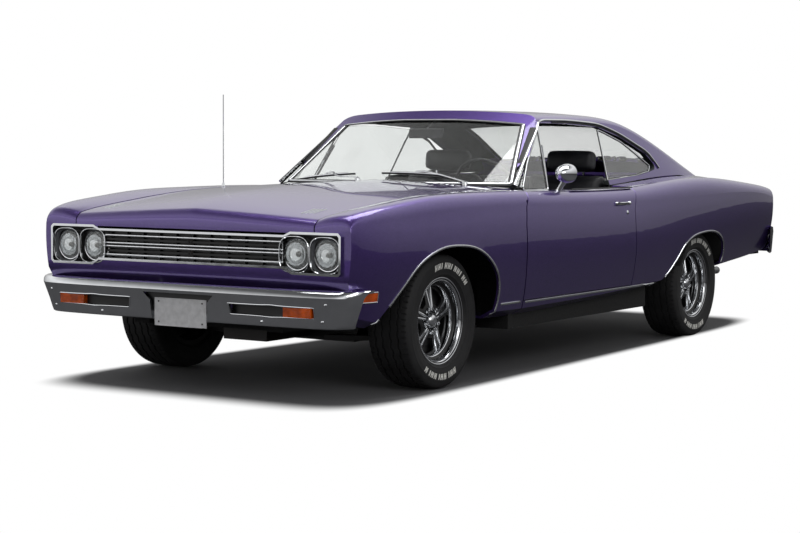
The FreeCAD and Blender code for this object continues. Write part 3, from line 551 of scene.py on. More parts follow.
def block(shape, low, high, number=0):
    corners = [Vector((x, y, z)) for z in (low.z, high.z) for y in (low.y, high.y) for x in (low.x, high.x)]
    faces = [(0, 2, 3, 1), (4, 5, 7, 6), (0, 1, 5, 4), (2, 6, 7, 3), (0, 4, 6, 2), (1, 3, 7, 5)]
    return shape.add(corners, faces, number)


def bolt(shape, place, out, radius, height, number=0):
    """A round-headed bolt with a flat washer face."""
    profile = [(-0.001, 0), (-0.001, radius), (height * 0.4, radius), (height * 0.8, radius * 0.7), (height, 0)]
    return revolve(shape, profile, place, out, number, turns=16)


def smooth(points, steps=6, closed=False):
    """A smooth run through points."""
    count = len(points)
    run = []
    for i in range(count if closed else count - 1):
        a, b, c, d = (points[j % count] if closed else points[max(0, min(count - 1, j))] for j in range(i - 1, i + 3))
        for k in range(steps):
            t = k / steps
            run.append(0.5 * ((2 * b) + (c - a) * t + (2 * a - 5 * b + 4 * c - d) * t ** 2
                              + (3 * b - a - 3 * c + d) * t ** 3))
    return run if closed else run + [points[-1]]


def evenly(points, step, closed=False):
    """The same run with points a step apart."""
    run = points + points[:1] if closed else points
    lengths = [0.0]
    for a, b in zip(run, run[1:]):
        lengths.append(lengths[-1] + (b - a).length)
    count = max(2, round(lengths[-1] / step))
    out, j = [], 0
    for i in range(count if closed else count + 1):
        want = lengths[-1] * i / count
        while j < len(lengths) - 2 and lengths[j + 1] < want:
            j += 1
        span = lengths[j + 1] - lengths[j] or 1.0
        out.append(run[j].lerp(run[j + 1], (want - lengths[j]) / span))
    return out


def half_round(width, height):
    return [(-width / 2, 0), (-width * 0.42, height * 0.7), (-width * 0.18, height), (width * 0.18, height),
            (width * 0.42, height * 0.7), (width / 2, 0), (width / 2, -0.001), (-width / 2, -0.001)]


TREES = {}


def skin_of(nodes):
    """A search tree over the CAD faces of some nodes."""
    if nodes not in TREES:
        points, faces = [], []
        for node in nodes:
            mesh = NODES[node].data
            start = len(points)
            points += [v.co.copy() for v in mesh.vertices]
            faces += [[start + i for i in p.vertices] for p in mesh.polygons]
        TREES[nodes] = BVHTree.FromPolygons(points, faces)
    return TREES[nodes]


def touch(nodes, place, direction):
    """Where a ray from a place meets the nodes' skin, and which way that skin faces."""
    tree = skin_of(tuple(nodes))
    hit, normal, _, _ = tree.ray_cast(place, direction)
    if hit is None:
        hit, normal, _, _ = tree.find_nearest(place + direction * 0.4)
    if normal.dot(direction) > 0:
        normal = -normal
    return hit, normal


def beside(node, y, z):
    """The point of a node's left side at (y, z) in millimetres, and the way that it faces."""
    return touch((node,), at(1300, y, z), -LEFT)


def on_top(nodes, x, y):
    """The point under (x, y) in millimetres, and the way that it faces."""
    return touch(nodes, at(x, y, 1300), -UP)


def along_side(points, nodes, lift=0.0):
    """Lays (y, z) points, in millimetres behind the front axle, on the car's left side."""
    path, ups = [], []
    for y, z in points:
        hit, normal = touch(nodes, at(1300, y, z), -LEFT)
        path.append(hit + normal * lift)
        ups.append(normal)
    return path, ups


def flat_run(points, step=14.0, closed=False):
    """A smooth, evenly spaced run through (y, z) points in millimetres."""
    run = smooth([Vector((0, y, z)) for y, z in points], 8, closed)
    return [(p.y, p.z) for p in evenly(run, step, closed)]


def rim(node, facing, share=0.5):
    """The outline of a pane's outer face, in order."""
    work = bmesh.new()
    work.from_mesh(NODES[node].data)
    bmesh.ops.remove_doubles(work, verts=work.verts, dist=2e-5)
    chosen = {f for f in work.faces if f.normal.dot(facing) > share and f.calc_center_median().x * facing.x >= 0}
    links = {}
    for edge in work.edges:
        if sum(f in chosen for f in edge.link_faces) == 1:
            a, b = edge.verts
            links.setdefault(a, []).append(b)
            links.setdefault(b, []).append(a)
    loops, seen = [], set()
    for first in links:
        if first in seen:
            continue
        loop, here = [first], first
        seen.add(first)
        while True:
            ahead = [v for v in links[here] if v not in seen]
            if not ahead:
                break
            here = ahead[0]
            seen.add(here)
            loop.append(here)
        loops.append(loop)
    loop = max(loops, key=lambda run: sum((a.co - b.co).length for a, b in zip(run, run[1:])))
    path = [v.co.copy() for v in loop]
    work.free()
    return path


def frame_round(shape, node, facing, profile, number=0, step=0.012, share=0.5, lift=0.0):
    """Runs a profile round a pane's edge."""
    path = evenly(rim(node, facing, share), step, closed=True)
    tree = skin_of((node,))
    ups = []
    for p in path:
        _, normal, _, _ = tree.find_nearest(p + facing * 0.004)
        ups.append((normal if normal.dot(facing) > 0.3 else facing).normalized())
    middle = sum(path, Vector()) / len(path)
    path = [p + up * lift for p, up in zip(path, ups)]
    turning = sum((a - middle).cross(b - middle).dot(facing) for a, b in zip(path, path[1:]))
    if turning < 0:
        path.reverse()
        ups.reverse()
    return sweep(shape, path, ups, profile, number, closed=True)


def lining(name, node, chosen, lift, make, slot):
    """A skin laid over some faces of a CAD node: trim, carpet or undercoat."""
    mesh = NODES[node].data
    shape = Shape()
    for polygon in mesh.polygons:
        if chosen(polygon.center, polygon.normal):
            shape.add([mesh.vertices[i].co + polygon.normal * lift for i in polygon.vertices],
                      [list(range(len(polygon.vertices)))])
    return shape.piece(name, body_of(node), [make], slot)


NODE_FINISHES = {
    sprayed_plum_basecoat: "front_fenders hood quarter_panels rockers boot_lid tail_panel roof_panel front_valance "
                           "door_left door_right cowl_panel",
    sprayed_undercoat: "floor_pan front_frame rear_frame",
    brushed_engine_enamel: "engine_block",
    cast_grey_iron: "driveline knuckle_left knuckle_right",
    drawn_exhaust_steel: "exhaust fuel_tank",
    satin_black_enamel: "front_suspension rear_axle grille",
    float_glass: "windshield rear_window quarter_windows vent_glass_left vent_glass_right door_glass_right",
    polished_chrome: "front_bumper rear_bumper lamp_surround door_chrome_left door_chrome_right antenna",
    stamped_plate_steel: "licence_plate",
    moulded_amber_lens: "amber_lamps",
    moulded_red_lens: "tail_lamps",
    anodised_moulding: "wipers",
    moulded_cabin_plastic: "dashboard steering_wheel inside_mirror",
    grained_vinyl: "front_seats rear_seat",
    pressed_lamp_glass: "headlamps",
}


def body_of(node):
    return next(name for name, members in frame["record"]["behaviour"]["bodies"].items() if node in members)


def paint_node(node, make):
    mesh_object = NODES[node]
    if not mesh_object.material_slots:
        mesh_object.data.materials.append(use(make))
    for entry in mesh_object.material_slots:
        entry.material = use(make)


class CAR_OT_panels(Operator):
    """Gives each panel and hidden part of the frame its finish"""
    bl_idname = "car.panels"
    bl_label = "Panels and underbody"

    def execute(self, context):
        for make, nodes in NODE_FINISHES.items():
            for node in nodes.split():
                paint_node(node, make)
        for corner in CORNERS:
            paint_node("wheel_" + corner, polished_chrome)
            paint_node("tyre_" + corner, moulded_tyre_rubber)
        return {"FINISHED"}


FRONT_ARCH = [(-628, 358), (-472, 502), (-330, 612), (-150, 672), (30, 676), (160, 655), (265, 606),
              (340, 540), (372, 475), (378, 405), (366, 330)]
REAR_ARCH = [(2205, 300), (2240, 345), (2400, 425), (2510, 505), (2600, 575), (2740, 624), (2960, 640),
             (3110, 622), (3215, 570), (3258, 500), (3252, 440)]
WHEELBASE = 2946.0
TYRE_RADIUS = 323
NOSE_TOP = 768.0
APRON_TOP = 556
ROLL_START, ROLL_DEPTH = -770, 42
ROLL_DROP, ROLL_DROP_LOST, ROLL_FADE = 44, 10, 50
APRON_START, APRON_SLOPE, APRON_REACH, APRON_FADE = -740, 0.44, 78, 40
ROLL_CUTS = (-811, -809, -806, -802, -797, -790, -782, -773)
APRON_CUTS = (APRON_TOP, 540, 520, 490, 450)


def roll_nose(node):
    """A front panel with its leading edge rolled down and its apron sloped back, as the pressing has them."""
    work = bmesh.new()
    work.from_mesh(NODES[node].data)
    for place, way in ([(at(0, y, 0), BACK) for y in ROLL_CUTS]
                       + [(at(0, 0, z), UP) for z in (NOSE_TOP, *APRON_CUTS)]):
        parts = [*work.verts, *work.edges, *work.faces]
        bmesh.ops.bisect_plane(work, geom=parts, plane_co=place, plane_no=way)
    for vertex in work.verts:
        y, z = (vertex.co.y - FRONT_AXLE.y) * 1000, vertex.co.z * 1000
        share = min(1.0, max(0.0, (ROLL_START - y) / ROLL_DEPTH))
        drop = ROLL_DROP - ROLL_DROP_LOST * abs(vertex.co.x) / 0.7
        drop *= 1 - math.sqrt(max(0.0, 1 - share * share))
        height = min(1.0, max(0.0, (z - NOSE_TOP) / ROLL_FADE))
        vertex.co.z -= drop * height / 1000
        if y < APRON_START and z < APRON_TOP:
            sloped = min(APRON_REACH, (APRON_TOP - z) * APRON_SLOPE) / 1000
            vertex.co.y += sloped * min(1.0, (APRON_START - y) / APRON_FADE)
    shape = Shape()
    work.verts.ensure_lookup_table()
    shape.add([v.co.copy() for v in work.verts], [[v.index for v in f.verts] for f in work.faces])
    work.free()
    return shape.piece("rolled_" + node, body_of(node), [sprayed_plum_basecoat], "body_paint", (node,), sharp=24)


class CAR_OT_nose(Operator):
    """Rolls the leading edges of the hood, fenders and front valance"""
    bl_idname = "car.nose"
    bl_label = "Rolled nose"

    def execute(self, context):
        for node in ("hood", "front_fenders", "front_valance"):
            roll_nose(node)
        return {"FINISHED"}


class CAR_OT_mouldings(Operator):
    """Lays the bright lips, window frames and seals on the panels"""
    bl_idname = "car.mouldings"
    bl_label = "Bright mouldings"

    def execute(self, context):
        size = sizes()
        lip = half_round(size.lip_width, size.lip_height)
        for name, run, node, axle in (("arch_lips_front", FRONT_ARCH, "front_fenders", 0.0),
                                      ("arch_lips_rear", REAR_ARCH, "quarter_panels", WHEELBASE)):
            shape = Shape()
            points = []
            for y, z in flat_run(run):
                away = Vector((y - axle, z - TYRE_RADIUS)).normalized() * size.lip_width * 480
                points.append((y + away.x, z + away.y))
            path, ups = along_side(points, (node,))
            sweep(shape, path, ups, lip)
            shape.both().piece(name, "body", [anodised_moulding], "chrome_plate")
        frames = Shape()
        screen_out = Vector((0, -1, 1.28)).normalized()
        window_out = Vector((0, 0.45, 0.9)).normalized()
        seals = Shape()
        for node, out in (("windshield", screen_out), ("rear_window", window_out)):
            frame_round(seals, node, out, half_round(size.seal_width * 2.8, 0.004), lift=0.001)
            frame_round(frames, node, out, half_round(size.rail_width * 1.2, 0.008), lift=0.001)
        frames.piece("screen_frames", "body", [anodised_moulding], "chrome_plate")
        seals.piece("screen_seals", "body", [extruded_rubber_seal], "interior_plastic")
        return {"FINISHED"}


RIM_LIP = [(92.4, 207.3), (98.6, 207.3), (99.2, 205), (98.2, 201.6), (95.4, 199.4), (94.2, 196.8), (94.8, 194.4),
           (92.6, 191.2), (88.8, 187.6), (83, 184.8), (66, 184.8)]
# The step wall between the lip and the barrel takes satin black: a painted shadow and dark reflection in the chrome
# groove.
RIM_STEP_PAINTED_SHADE = [(66.5, 185.2), (62, 182), (58.6, 176), (56.2, 171.4)]
RIM_BARREL = [(56.6, 172), (55, 168.4), (52, 166.2), (20, 166.2), (15, 165.4)]
CAP_PROFILE = [(41, 37.2), (52.5, 34.8), (59.5, 30), (64, 24), (66.8, 16), (67.2, 9), (66.2, 3), (66, 0)]
NUT_PROFILE = [(33, 11.4), (53, 11.4), (57, 9), (58, 5), (58.2, 0)]
SPOKE_CREST = [(40, 46), (64, 47), (122, 34), (168, 27)]
SIDEWALL = [(92, 191), (93.5, 203), (99, 211), (104.5, 217), (108, 220), (110.8, 222), (110.4, 226), (112.6, 236),
            (114, 240), (113.8, 244), (115.6, 250), (117, 262), (117, 272), (116.2, 280), (117, 282.5), (115.2, 286),
            (113.4, 297), (110, 306)]
GROOVES = (-62, -22, 22, 62)


def millimetres(points):
    return [tuple(value / 1000 for value in point) for point in points]


def between(table, place):
    """Reads a value off a run of (place, value) points."""
    for (a, low), (b, high) in zip(table, table[1:]):
        if place <= b:
            return low + (high - low) * (place - a) / (b - a)
    return table[-1][1]


def wheel_point(along, radius, angle, across=0.0):
    """A point of the left wheel in metres: out along the axle, out from it, turned back from the top."""
    turn = math.radians(angle)
    y = across * math.cos(turn) + radius * math.sin(turn)
    z = radius * math.cos(turn) - across * math.sin(turn)
    return Vector((along, y, z)) / 1000


def spoke(shape, angle):
    """Two chromed ridges that spread towards the rim, with a black channel between them."""
    stations = [48, 56, 66, 80, 96, 112, 128, 144, 158, 167]
    for side in (-1, 1):
        rows = []
        for radius in stations:
            half = 13 + 14 * (radius - 48) / 120
            inner = max(1.5, 4 + 11 * (radius - 68) / 92)
            crest = between(SPOKE_CREST, radius)
            ridge = [(half + 0.7, -13), (half + 0.7, -2.5), (half - 1.5, 0.9), ((half + inner) / 2, 2.2),
                     (inner + 1.2, 0.9), (inner - 0.6, -2), (inner - 0.6, -9)]
            rows.append([wheel_point(crest + rise, radius, angle, side * across) for across, rise in ridge])
        rings(shape, rows, round_row=False)


def car_wheel():
    """The bright parts over a left wheel, drawn about its own centre."""
    shape = Shape()
    # The step is drawn in satin black as painted shade; the lip and barrel are chrome.
    for profile, number in ((RIM_LIP, 0), (RIM_STEP_PAINTED_SHADE, 1), (RIM_BARREL, 0)):
        revolve(shape, millimetres(profile), Vector(), LEFT, number, turns=96)
    revolve(shape, millimetres(CAP_PROFILE), Vector(), LEFT, 2, turns=48)
    revolve(shape, millimetres([(38, 0), (38, 46)]), Vector(), LEFT, 1, turns=48)
    revolve(shape, millimetres([(2, 120), (2, 166)]), Vector(), LEFT, 1, turns=48)
    for i in range(5):
        spoke(shape, 72 * i)
        revolve(shape, millimetres(NUT_PROFILE), wheel_point(0, 57.15, 72 * i + 36), LEFT, 0, turns=6)
    return shape


def car_tyre():
    """A left tyre about its own centre: ribbed sidewalls, zigzag grooves and shoulder blocks."""
    size = sizes()
    depth = size.tread_depth * 1000
    blocks = size.tread_blocks
    rows = []
    for block_number in range(blocks):
        jog = 2.5 if block_number % 2 else -2.5
        for share in (0.0, 0.11, 0.15, 0.96):
            cut = share < 0.14
            angle = 360 * (block_number + share) / blocks
            shoulder = [(a, crown(a) - (depth * 0.7 if cut and 78 < a < 104 else 0)) for a in (76, 80, 97, 105)]
            tread = [(-a, r) for a, r in reversed(shoulder)]
            for groove in GROOVES:
                for a, drop in ((-4.6, 0), (-3.6, depth), (3.6, depth), (4.6, 0)):
                    tread.append((groove + jog + a, crown(groove) - drop))
                if groove != GROOVES[-1]:
                    middle = groove + 20
                    tread.append((middle, crown(middle)))
            section = [(-a, r) for a, r in SIDEWALL] + tread + shoulder + list(reversed(SIDEWALL))
            rows.append([wheel_point(a, r, angle) for a, r in section])
    return rings(Shape(), rows, round_row=False, round_all=True, caps=False)


def crown(along):
    """The tread's radius across its width, falling away at the shoulders."""
    return TYRE_RADIUS - 3 * (along / 95) ** 2 - max(0, abs(along) - 90) * 0.42


def sidewall_marks():
    """Raised white bars in two arcs on a left tyre's sidewall."""
    wall = [(r, a) for a, r in SIDEWALL if 240 <= r <= 297]
    shape = Shape()
    for middle, count in ((14, 11), (184, 10)):
        for i in range(count):
            start = middle + (i - (count - 1) / 2) * 6.4
            for low, high, first, width in ((249, 277, 0.0, 2.0), (249, 277, 3.0, 1.7), (258, 266, 1.6, 1.8)):
                if i % 3 == 2 and first != 0.0:
                    continue
                rows = []
                for radius in (low, (low + high) / 2, high):
                    lean = (radius - 262) * 0.05
                    row = [(0.0, start + first + lean), (1.1, start + first + lean + 0.12),
                           (1.1, start + first + width + lean - 0.12), (0.0, start + first + width + lean)]
                    rows.append([wheel_point(between(wall, radius) + rise, radius, angle) for rise, angle in row])
                rings(shape, rows)
    return shape


class CAR_OT_wheels(Operator):
    """Puts the chromed rims, spokes, caps and nuts on the wheels, and replaces the plain tyres"""
    bl_idname = "car.wheels"
    bl_label = "Wheels and tyres"

    def execute(self, context):
        left = {"wheel": car_wheel(), "tyre": car_tyre(), "marks": sidewall_marks()}
        for corner in CORNERS:
            place = Matrix.Translation(centre_of("tyre_" + corner))
            body = body_of("wheel_" + corner)
            own = {name: (shape if "left" in corner else shape.mirrored()).moved(place)
                   for name, shape in left.items()}
            paint_node("wheel_" + corner, satin_black_enamel)
            own["wheel"].piece("rim_" + corner, body, [polished_chrome, satin_black_enamel, anodised_moulding],
                               "wheel_chrome", sharp=40)
            own["tyre"].piece("tread_" + corner, body, [moulded_tyre_rubber], "tyre_rubber", ("tyre_" + corner,))
            own["marks"].piece("sidewall_marks_" + corner, body, [raised_white_rubber], "tyre_rubber")
        return {"FINISHED"}


LAMPS = [(594, 667, "inner"), (760, 667, "outer")]
LAMP_Y = -782
BEZEL = [(-2.4, -8), (-2.4, 0), (-1, 1.6), (1, 1.6), (2.4, 0), (2.4, -8)]


def rounded_square(x, y, z, half, turns=64, square=3.2):
    """A ring of points round a lamp, squarer than a circle."""
    points = []
    for i in range(turns):
        c, s = math.cos(2 * math.pi * i / turns), math.sin(2 * math.pi * i / turns)
        reach = half / (abs(c) ** square + abs(s) ** square) ** (1 / square)
        points.append(at(x + reach * c, y, z + reach * s))
    return points


def bezel(shape, x, z, half, profile, y, number=0):
    """Sweeps a profile round a rounded square about a lamp."""
    path = rounded_square(x, y, z, half)
    return sweep(shape, path, -BACK, profile, number, closed=True)


class CAR_OT_lamps(Operator):
    """Builds the four headlamps with bowls, lenses and bezels"""
    bl_idname = "car.lamps"
    bl_label = "Lamps"

    def execute(self, context):
        glass, bowls, frames = Shape(), Shape(), Shape()
        for x, z, place in LAMPS:
            centre = at(x, LAMP_Y, z)
            lens = millimetres([(4, 69.5), (8, 69), (13, 65), (17, 55), (20, 40), (22, 22), (22.6, 0)])
            inner = millimetres([(19.6, 0), (19, 22), (17, 40), (14, 55), (10, 65), (4, 67)])
            revolve(glass, lens + inner, centre, -BACK, turns=64)
            bowl = millimetres([(5, 69), (0, 68), (-8, 60), (-15, 48), (-20, 34), (-23.4, 14), (-23.6, 9)])
            revolve(bowls, bowl, centre, -BACK, turns=64)
            # The bulb takes the white rubber finish: a plain white part that is a painted glow in the lamp's centre.
            painted_glow_bulb = millimetres([(-23.6, 10), (-12, 10), (-8, 8), (-4, 0)])
            revolve(bowls, painted_glow_bulb, centre, -BACK, 1, turns=24)
            ring = millimetres([(0, 73.8), (9, 73.2), (11.5, 71.2), (11, 68.6), (6, 68)])
            revolve(frames, ring, centre, -BACK, 0, turns=64)
            bezel(frames, x, z, 80, millimetres(BEZEL), -817)
            rows = []
            for depth, half in ((-812, 78.5), (-804, 77.5), (-788, 73.5)):
                rows.append(rounded_square(x, depth, z, half))
            # Outer wells take the grey enamel and inner ones satin black: the grey is painted light falling on the
            # outer wells.
            rings(frames, rows, 2 if place == "outer" else 1, caps=False)
        glass.both().piece("lamp_lenses", "body", [pressed_lamp_glass], "lamp_glass", ("headlamps",))
        bowls.both().piece("lamp_bowls", "body", [silvered_mirror, raised_white_rubber], "bright_steel")
        frames.both().piece("lamp_bezels", "body", [polished_chrome, satin_black_enamel, sprayed_argent_enamel],
                            "chrome_plate")
        return {"FINISHED"}


SLOT = [(292, 442), (744, 440), (744, 394), (300, 394)]
PLATE_HOLLOW = [(206, 472), (168, 436), (162, 300), (-162, 300), (-168, 436), (-206, 472)]
BUMPER_BOLTS = [(806, 455), (784, 379), (470, 367)]
BUMPER_SIDE = [(-836, 517), (-866, 516), (-883, 512), (-896, 502), (-904.5, 486), (-900, 450), (-894, 410),
               (-889, 362), (-886, 350), (-878, 346), (-870, 350), (-876, 362), (-884, 412), (-890, 450),
               (-893, 482), (-886, 495), (-874, 504), (-836, 507)]
BUMPER_RUN = [(0, 0), (216, 0), (380, 2), (520, 5), (640, 10), (740, 17), (806, 26), (852, 38), (886, 54), (911, 74),
              (929, 98), (940, 120), (946, 138)]
BUMPER_TAPER = [(0, 0), (560, 0), (740, 14), (852, 42), (946, 80)]


def bumper_blade():
    """The front bumper as one blade, swept back and drawn in at its lower corners."""
    stations = [(-x, back) for x, back in reversed(BUMPER_RUN[1:])] + BUMPER_RUN
    rows = []
    for x, back in stations:
        drawn = between(BUMPER_TAPER, abs(x)) * (1 if x > 0 else -1)
        rows.append([at(x - drawn * (517 - z) / 171, y + back, z) for y, z in BUMPER_SIDE])
    return rings(Shape(), rows)


def prism(corners, front, rear):
    """A closed block through the car's front, drawn as (x, z) corners."""
    return rings(Shape(), [[at(x, y, z) for x, z in corners] for y in (front, rear)])


def on_tree(points, tree, lift=0.0):
    """Lays (x, z) points on a front surface, with the directions that it faces there."""
    path, ups = [], []
    for x, z in points:
        hit, normal, _, _ = tree.ray_cast(at(x, -1300, z), BACK)
        normal = normal if normal.y < 0 else -normal
        path.append(hit + normal * lift)
        ups.append(normal)
    return path, ups


def square_run(corners, step):
    """Points a step apart along straight sides, in millimetres."""
    run = evenly([Vector((x, 0, z)) for x, z in corners], step, closed=True)
    return [(p.x, p.z) for p in run]


class CAR_OT_front(Operator):
    """Adds the grille's bright bars, the bumper's slot lips, bolts and dark backing, and the plate's frame"""
    bl_idname = "car.front"
    bl_label = "Grille and bumper"

    def execute(self, context):
        size = sizes()
        bars = Shape()
        height = size.bar_height
        for z in (720, 684, 669, 629):
            sweep(bars, [at(x, -807.5, z) for x in (-530, -265, 0, 265, 530)], -BACK, half_round(height, 0.003))
        for x in (-526, 526):
            sweep(bars, [at(x, -807, z) for z in (625, 676, 724)], -BACK, half_round(0.006, 0.002))
        for low, high in ((636, 662), (691, 713)):
            for x in (-8, 8):
                block(bars, at(x - 3, -806, low), at(x + 3, -800, high), 1)
        bars.piece("grille_bars", "body", [anodised_moulding, cast_grey_iron], "chrome_plate")
        holes = prism(SLOT, -1000, -700)
        blade = bumper_blade()
        blade.piece("bumper_blade", "body", [polished_chrome], "chrome_plate", ("front_bumper",), sharp=28,
                    cuts=(holes, holes.mirrored(), prism(PLATE_HOLLOW, -1000, -879.5)))
        backing = Shape()
        block(backing, at(288, -862, 380), at(748, -854, 452))
        backing = backing.both()
        block(backing, at(-206, -878, 352), at(206, -868, 479))
        backing.piece("bumper_backing", "body", [satin_black_enamel], "grille_black")
        trim = Shape()
        for side in (1, -1):
            corners = [(x * side, z) for x, z in SLOT]
            middle = Vector((sum(x for x, _ in corners) / 4, sum(z for _, z in corners) / 4))
            outer = []
            for x, z in square_run(corners, 12):
                away = (Vector((x, z)) - middle).normalized() * 4
                outer.append((x + away.x, z + away.y))
            face = BVHTree.FromPolygons(blade.points, blade.faces)
            path, ups = on_tree(outer, face)
            sweep(trim, path, ups, half_round(0.006, 0.0022), closed=True)
            for x, z in BUMPER_BOLTS:
                (place,), (out,) = on_tree([(x * side, z)], face)
                bolt(trim, place, out, 0.0075, 0.004)
        for x in (-128, 128):
            for z in (336, 430):
                bolt(trim, at(x, -881, z), -BACK, 0.004, 0.003, 1)
        trim.piece("bumper_trim", "body", [polished_chrome, cast_grey_iron], "chrome_plate")
        plate = Shape()
        edge = square_run([(-150, 319.5), (150, 319.5), (150, 444.5), (-150, 444.5)], 30)
        sweep(plate, [at(x, -881, z) for x, z in edge], -BACK, half_round(0.005, 0.0014), closed=True)
        plate.piece("plate_edge", "body", [stamped_plate_steel], "plate_metal")
        return {"FINISHED"}


def pad(low, high, roll):
    """A block with rounded edges, as a mesh, in millimetres."""
    work = bmesh.new()
    bmesh.ops.create_cube(work, size=1.0)
    for vertex in work.verts:
        vertex.co = Vector([(a + b) / 2 + (b - a) * c for a, b, c in zip(low, high, vertex.co)]) / 1000
    bmesh.ops.bevel(work, geom=list(work.edges), offset=roll / 1000, segments=4, profile=0.5, affect="EDGES")
    mesh = bpy.data.meshes.new("pad")
    work.to_mesh(mesh)
    work.free()
    return mesh


def leaning(degrees, x, y, z):
    """Leans a pad back by so many degrees and stands it in the cabin."""
    return Matrix.Translation(at(x, y, z)) @ Matrix.Rotation(-math.radians(degrees), 4, "X")


PADS = {
    "front_cushion": ((-258, 0, 0), (258, 540, 135), 34, leaning(-4, 420, 1402, 275)),
    "front_back": ((-258, -110, 0), (258, 10, 640), 34, leaning(18, 420, 1985, 372)),
    "front_headrest": ((-150, -50, 0), (150, 36, 122), 30, leaning(8, 420, 2150, 1004)),
    "rear_cushion": ((-592, 0, 0), (592, 440, 150), 36, leaning(-4, 0, 2332, 480)),
    "rear_back": ((-592, -120, 0), (592, 10, 400), 36, leaning(12, 0, 2790, 575)),
}
PAD_CELL = 0.016
PAD_FRAMES = 20
PAD_LIMIT = 0.024
PAD_PRESSURE = 4.0
CHANNEL_WIDTH, CHANNEL_DEPTH, CHANNEL_EDGE = 46.0, 0.007, 0.62
BORDER_ENDS, BORDER_SIDES, FACE_DEPTH = 55, 62, -60


def blown_up(quick):
    """Fills every seat pad by cloth simulation and gives back its faces, one shape a pad."""
    blanks = []
    for name, (low, high, roll, place) in PADS.items():
        blank = bpy.data.objects.new(name, pad(low, high, roll))
        bpy.context.scene.collection.objects.link(blank)
        step = blank.modifiers.new("Cells", "REMESH")
        step.mode, step.voxel_size = "VOXEL", PAD_CELL
        blanks.append((name, blank, place))
    view = bpy.context.evaluated_depsgraph_get()
    whole = bmesh.new()
    spans, start = [], 0
    for name, blank, place in blanks:
        mesh = bpy.data.meshes.new_from_object(blank.evaluated_get(view))
        mesh.transform(place)
        whole.from_mesh(mesh)
        spans.append((name, start, start + len(mesh.vertices)))
        start += len(mesh.vertices)
    mesh = bpy.data.meshes.new("pads")
    whole.to_mesh(mesh)
    whole.free()
    for _, blank, _ in blanks:
        bpy.data.objects.remove(blank)
    before = [v.co.copy() for v in mesh.vertices]
    after = before
    if not quick:
        body = bpy.data.objects.new("pads", mesh)
        bpy.context.scene.collection.objects.link(body)
        cloth = body.modifiers.new("Filling", "CLOTH")
        cloth.settings.quality = 4
        cloth.settings.mass = 0.3
        cloth.settings.use_pressure = True
        cloth.settings.uniform_pressure_force = PAD_PRESSURE
        cloth.settings.effector_weights.gravity = 0.0
        cloth.point_cache.frame_start, cloth.point_cache.frame_end = 1, PAD_FRAMES
        for count in range(1, PAD_FRAMES + 1):
            bpy.context.scene.frame_set(count)
        shaped = body.evaluated_get(bpy.context.evaluated_depsgraph_get())
        after = [v.co.copy() for v in shaped.data.vertices]
        bpy.data.objects.remove(body)
        bpy.context.scene.frame_set(1)
    shapes = {}
    for name, first, last in spans:
        shape = Shape()
        for old, new in zip(before[first:last], after[first:last]):
            step = new - old
            shape.points.append(old + step * min(1.0, PAD_LIMIT / (step.length or 1.0)))
        shape.faces = [[i - first for i in p.vertices] for p in mesh.polygons if first <= p.vertices[0] < last]
        shape.numbers = [0] * len(shape.faces)
        shapes[name] = shape
    return shapes


def channelled(shape, name):
    """Presses stitched channels into a pad's face, inside a plain border."""
    low, high, _, place = PADS[name]
    back = place.inverted()
    cushion = "cushion" in name
    for i, point in enumerate(shape.points):
        here = back @ point * 1000
        along, depth = (here.y, here.z - high[2]) if cushion else (here.z, low[1] - here.y)
        reach = (high[1] - low[1]) if cushion else high[2]
        inside = BORDER_ENDS < along < reach - BORDER_ENDS and abs(here.x) <= high[0] - BORDER_SIDES
        if depth < FACE_DEPTH or not inside:
            continue
        groove = abs((here.x / CHANNEL_WIDTH) % 1.0 - 0.5) * 2
        press = CHANNEL_DEPTH * max(0.0, groove - CHANNEL_EDGE) / (1 - CHANNEL_EDGE)
        push = place.to_3x3() @ (Vector((0, 0, -1)) if cushion else Vector((0, 1, 0)))
        shape.points[i] = point + push * press
    return shape


class CAR_OT_seats(Operator):
    """Fills the vinyl seats by cloth simulation and presses their channels"""
    bl_idname = "car.seats"
    bl_label = "Padded seats"

    def execute(self, context):
        shapes = blown_up(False)
        for name in ("front_cushion", "front_back", "rear_cushion", "rear_back"):
            shapes[name] = channelled(shapes[name], name)
        posts = Shape()
        for x in (340, 500):
            sweep(posts, [at(x, 2150, 985), at(x, 2158, 1030)], BACK, [(-0.005, -0.005), (-0.005, 0.005),
                                                                          (0.005, 0.005), (0.005, -0.005)])
        for name in ("front_cushion", "front_back", "front_headrest"):
            stands = ("front_seats",) if name == "front_cushion" else ()
            piece = shapes[name].both().piece(name + "s", "body", [grained_vinyl], "seat_vinyl", stands, sharp=80)
        for name in ("rear_cushion", "rear_back"):
            stands = ("rear_seat",) if name == "rear_cushion" else ()
            piece = shapes[name].piece(name, "body", [grained_vinyl], "seat_vinyl", stands, sharp=80)
        posts.both().piece("headrest_posts", "body", [polished_chrome], "bright_steel")
        return {"FINISHED"}


def tube(shape, path, radius, ups=UP, number=0, closed=False, turns=12):
    """A round bar along a path."""
    angles = [2 * math.pi * i / turns for i in range(turns)]
    ring = [(radius * math.cos(angle), radius * math.sin(angle)) for angle in angles]
    return sweep(shape, path, ups, ring, number, closed)


WHEEL_AXIS = Vector((0, math.cos(math.radians(24)), math.sin(math.radians(24))))
WHEEL_UP = LEFT.cross(WHEEL_AXIS)


def on_wheel(angle, radius, out=0.0):
    """A point of the steering wheel, in millimetres from its centre."""
    turn = math.radians(angle)
    return at(370, 1262, 902) + (LEFT * math.cos(turn) + WHEEL_UP * math.sin(turn)) * radius / 1000 \
        + WHEEL_AXIS * out / 1000


CABIN_MIDDLE = at(0, 1750, 1000)


def inner_side(place, normal):
    """Whether a face of a side panel looks into the cabin."""
    return normal.x * place.x < 0 and abs(normal.x) > 0.5


def under_roof(place, normal):
    inward = normal.dot(CABIN_MIDDLE - place) > 0
    return inward and at(0, 880, 0).y < place.y < at(0, 3010, 0).y and place.z > 0.94


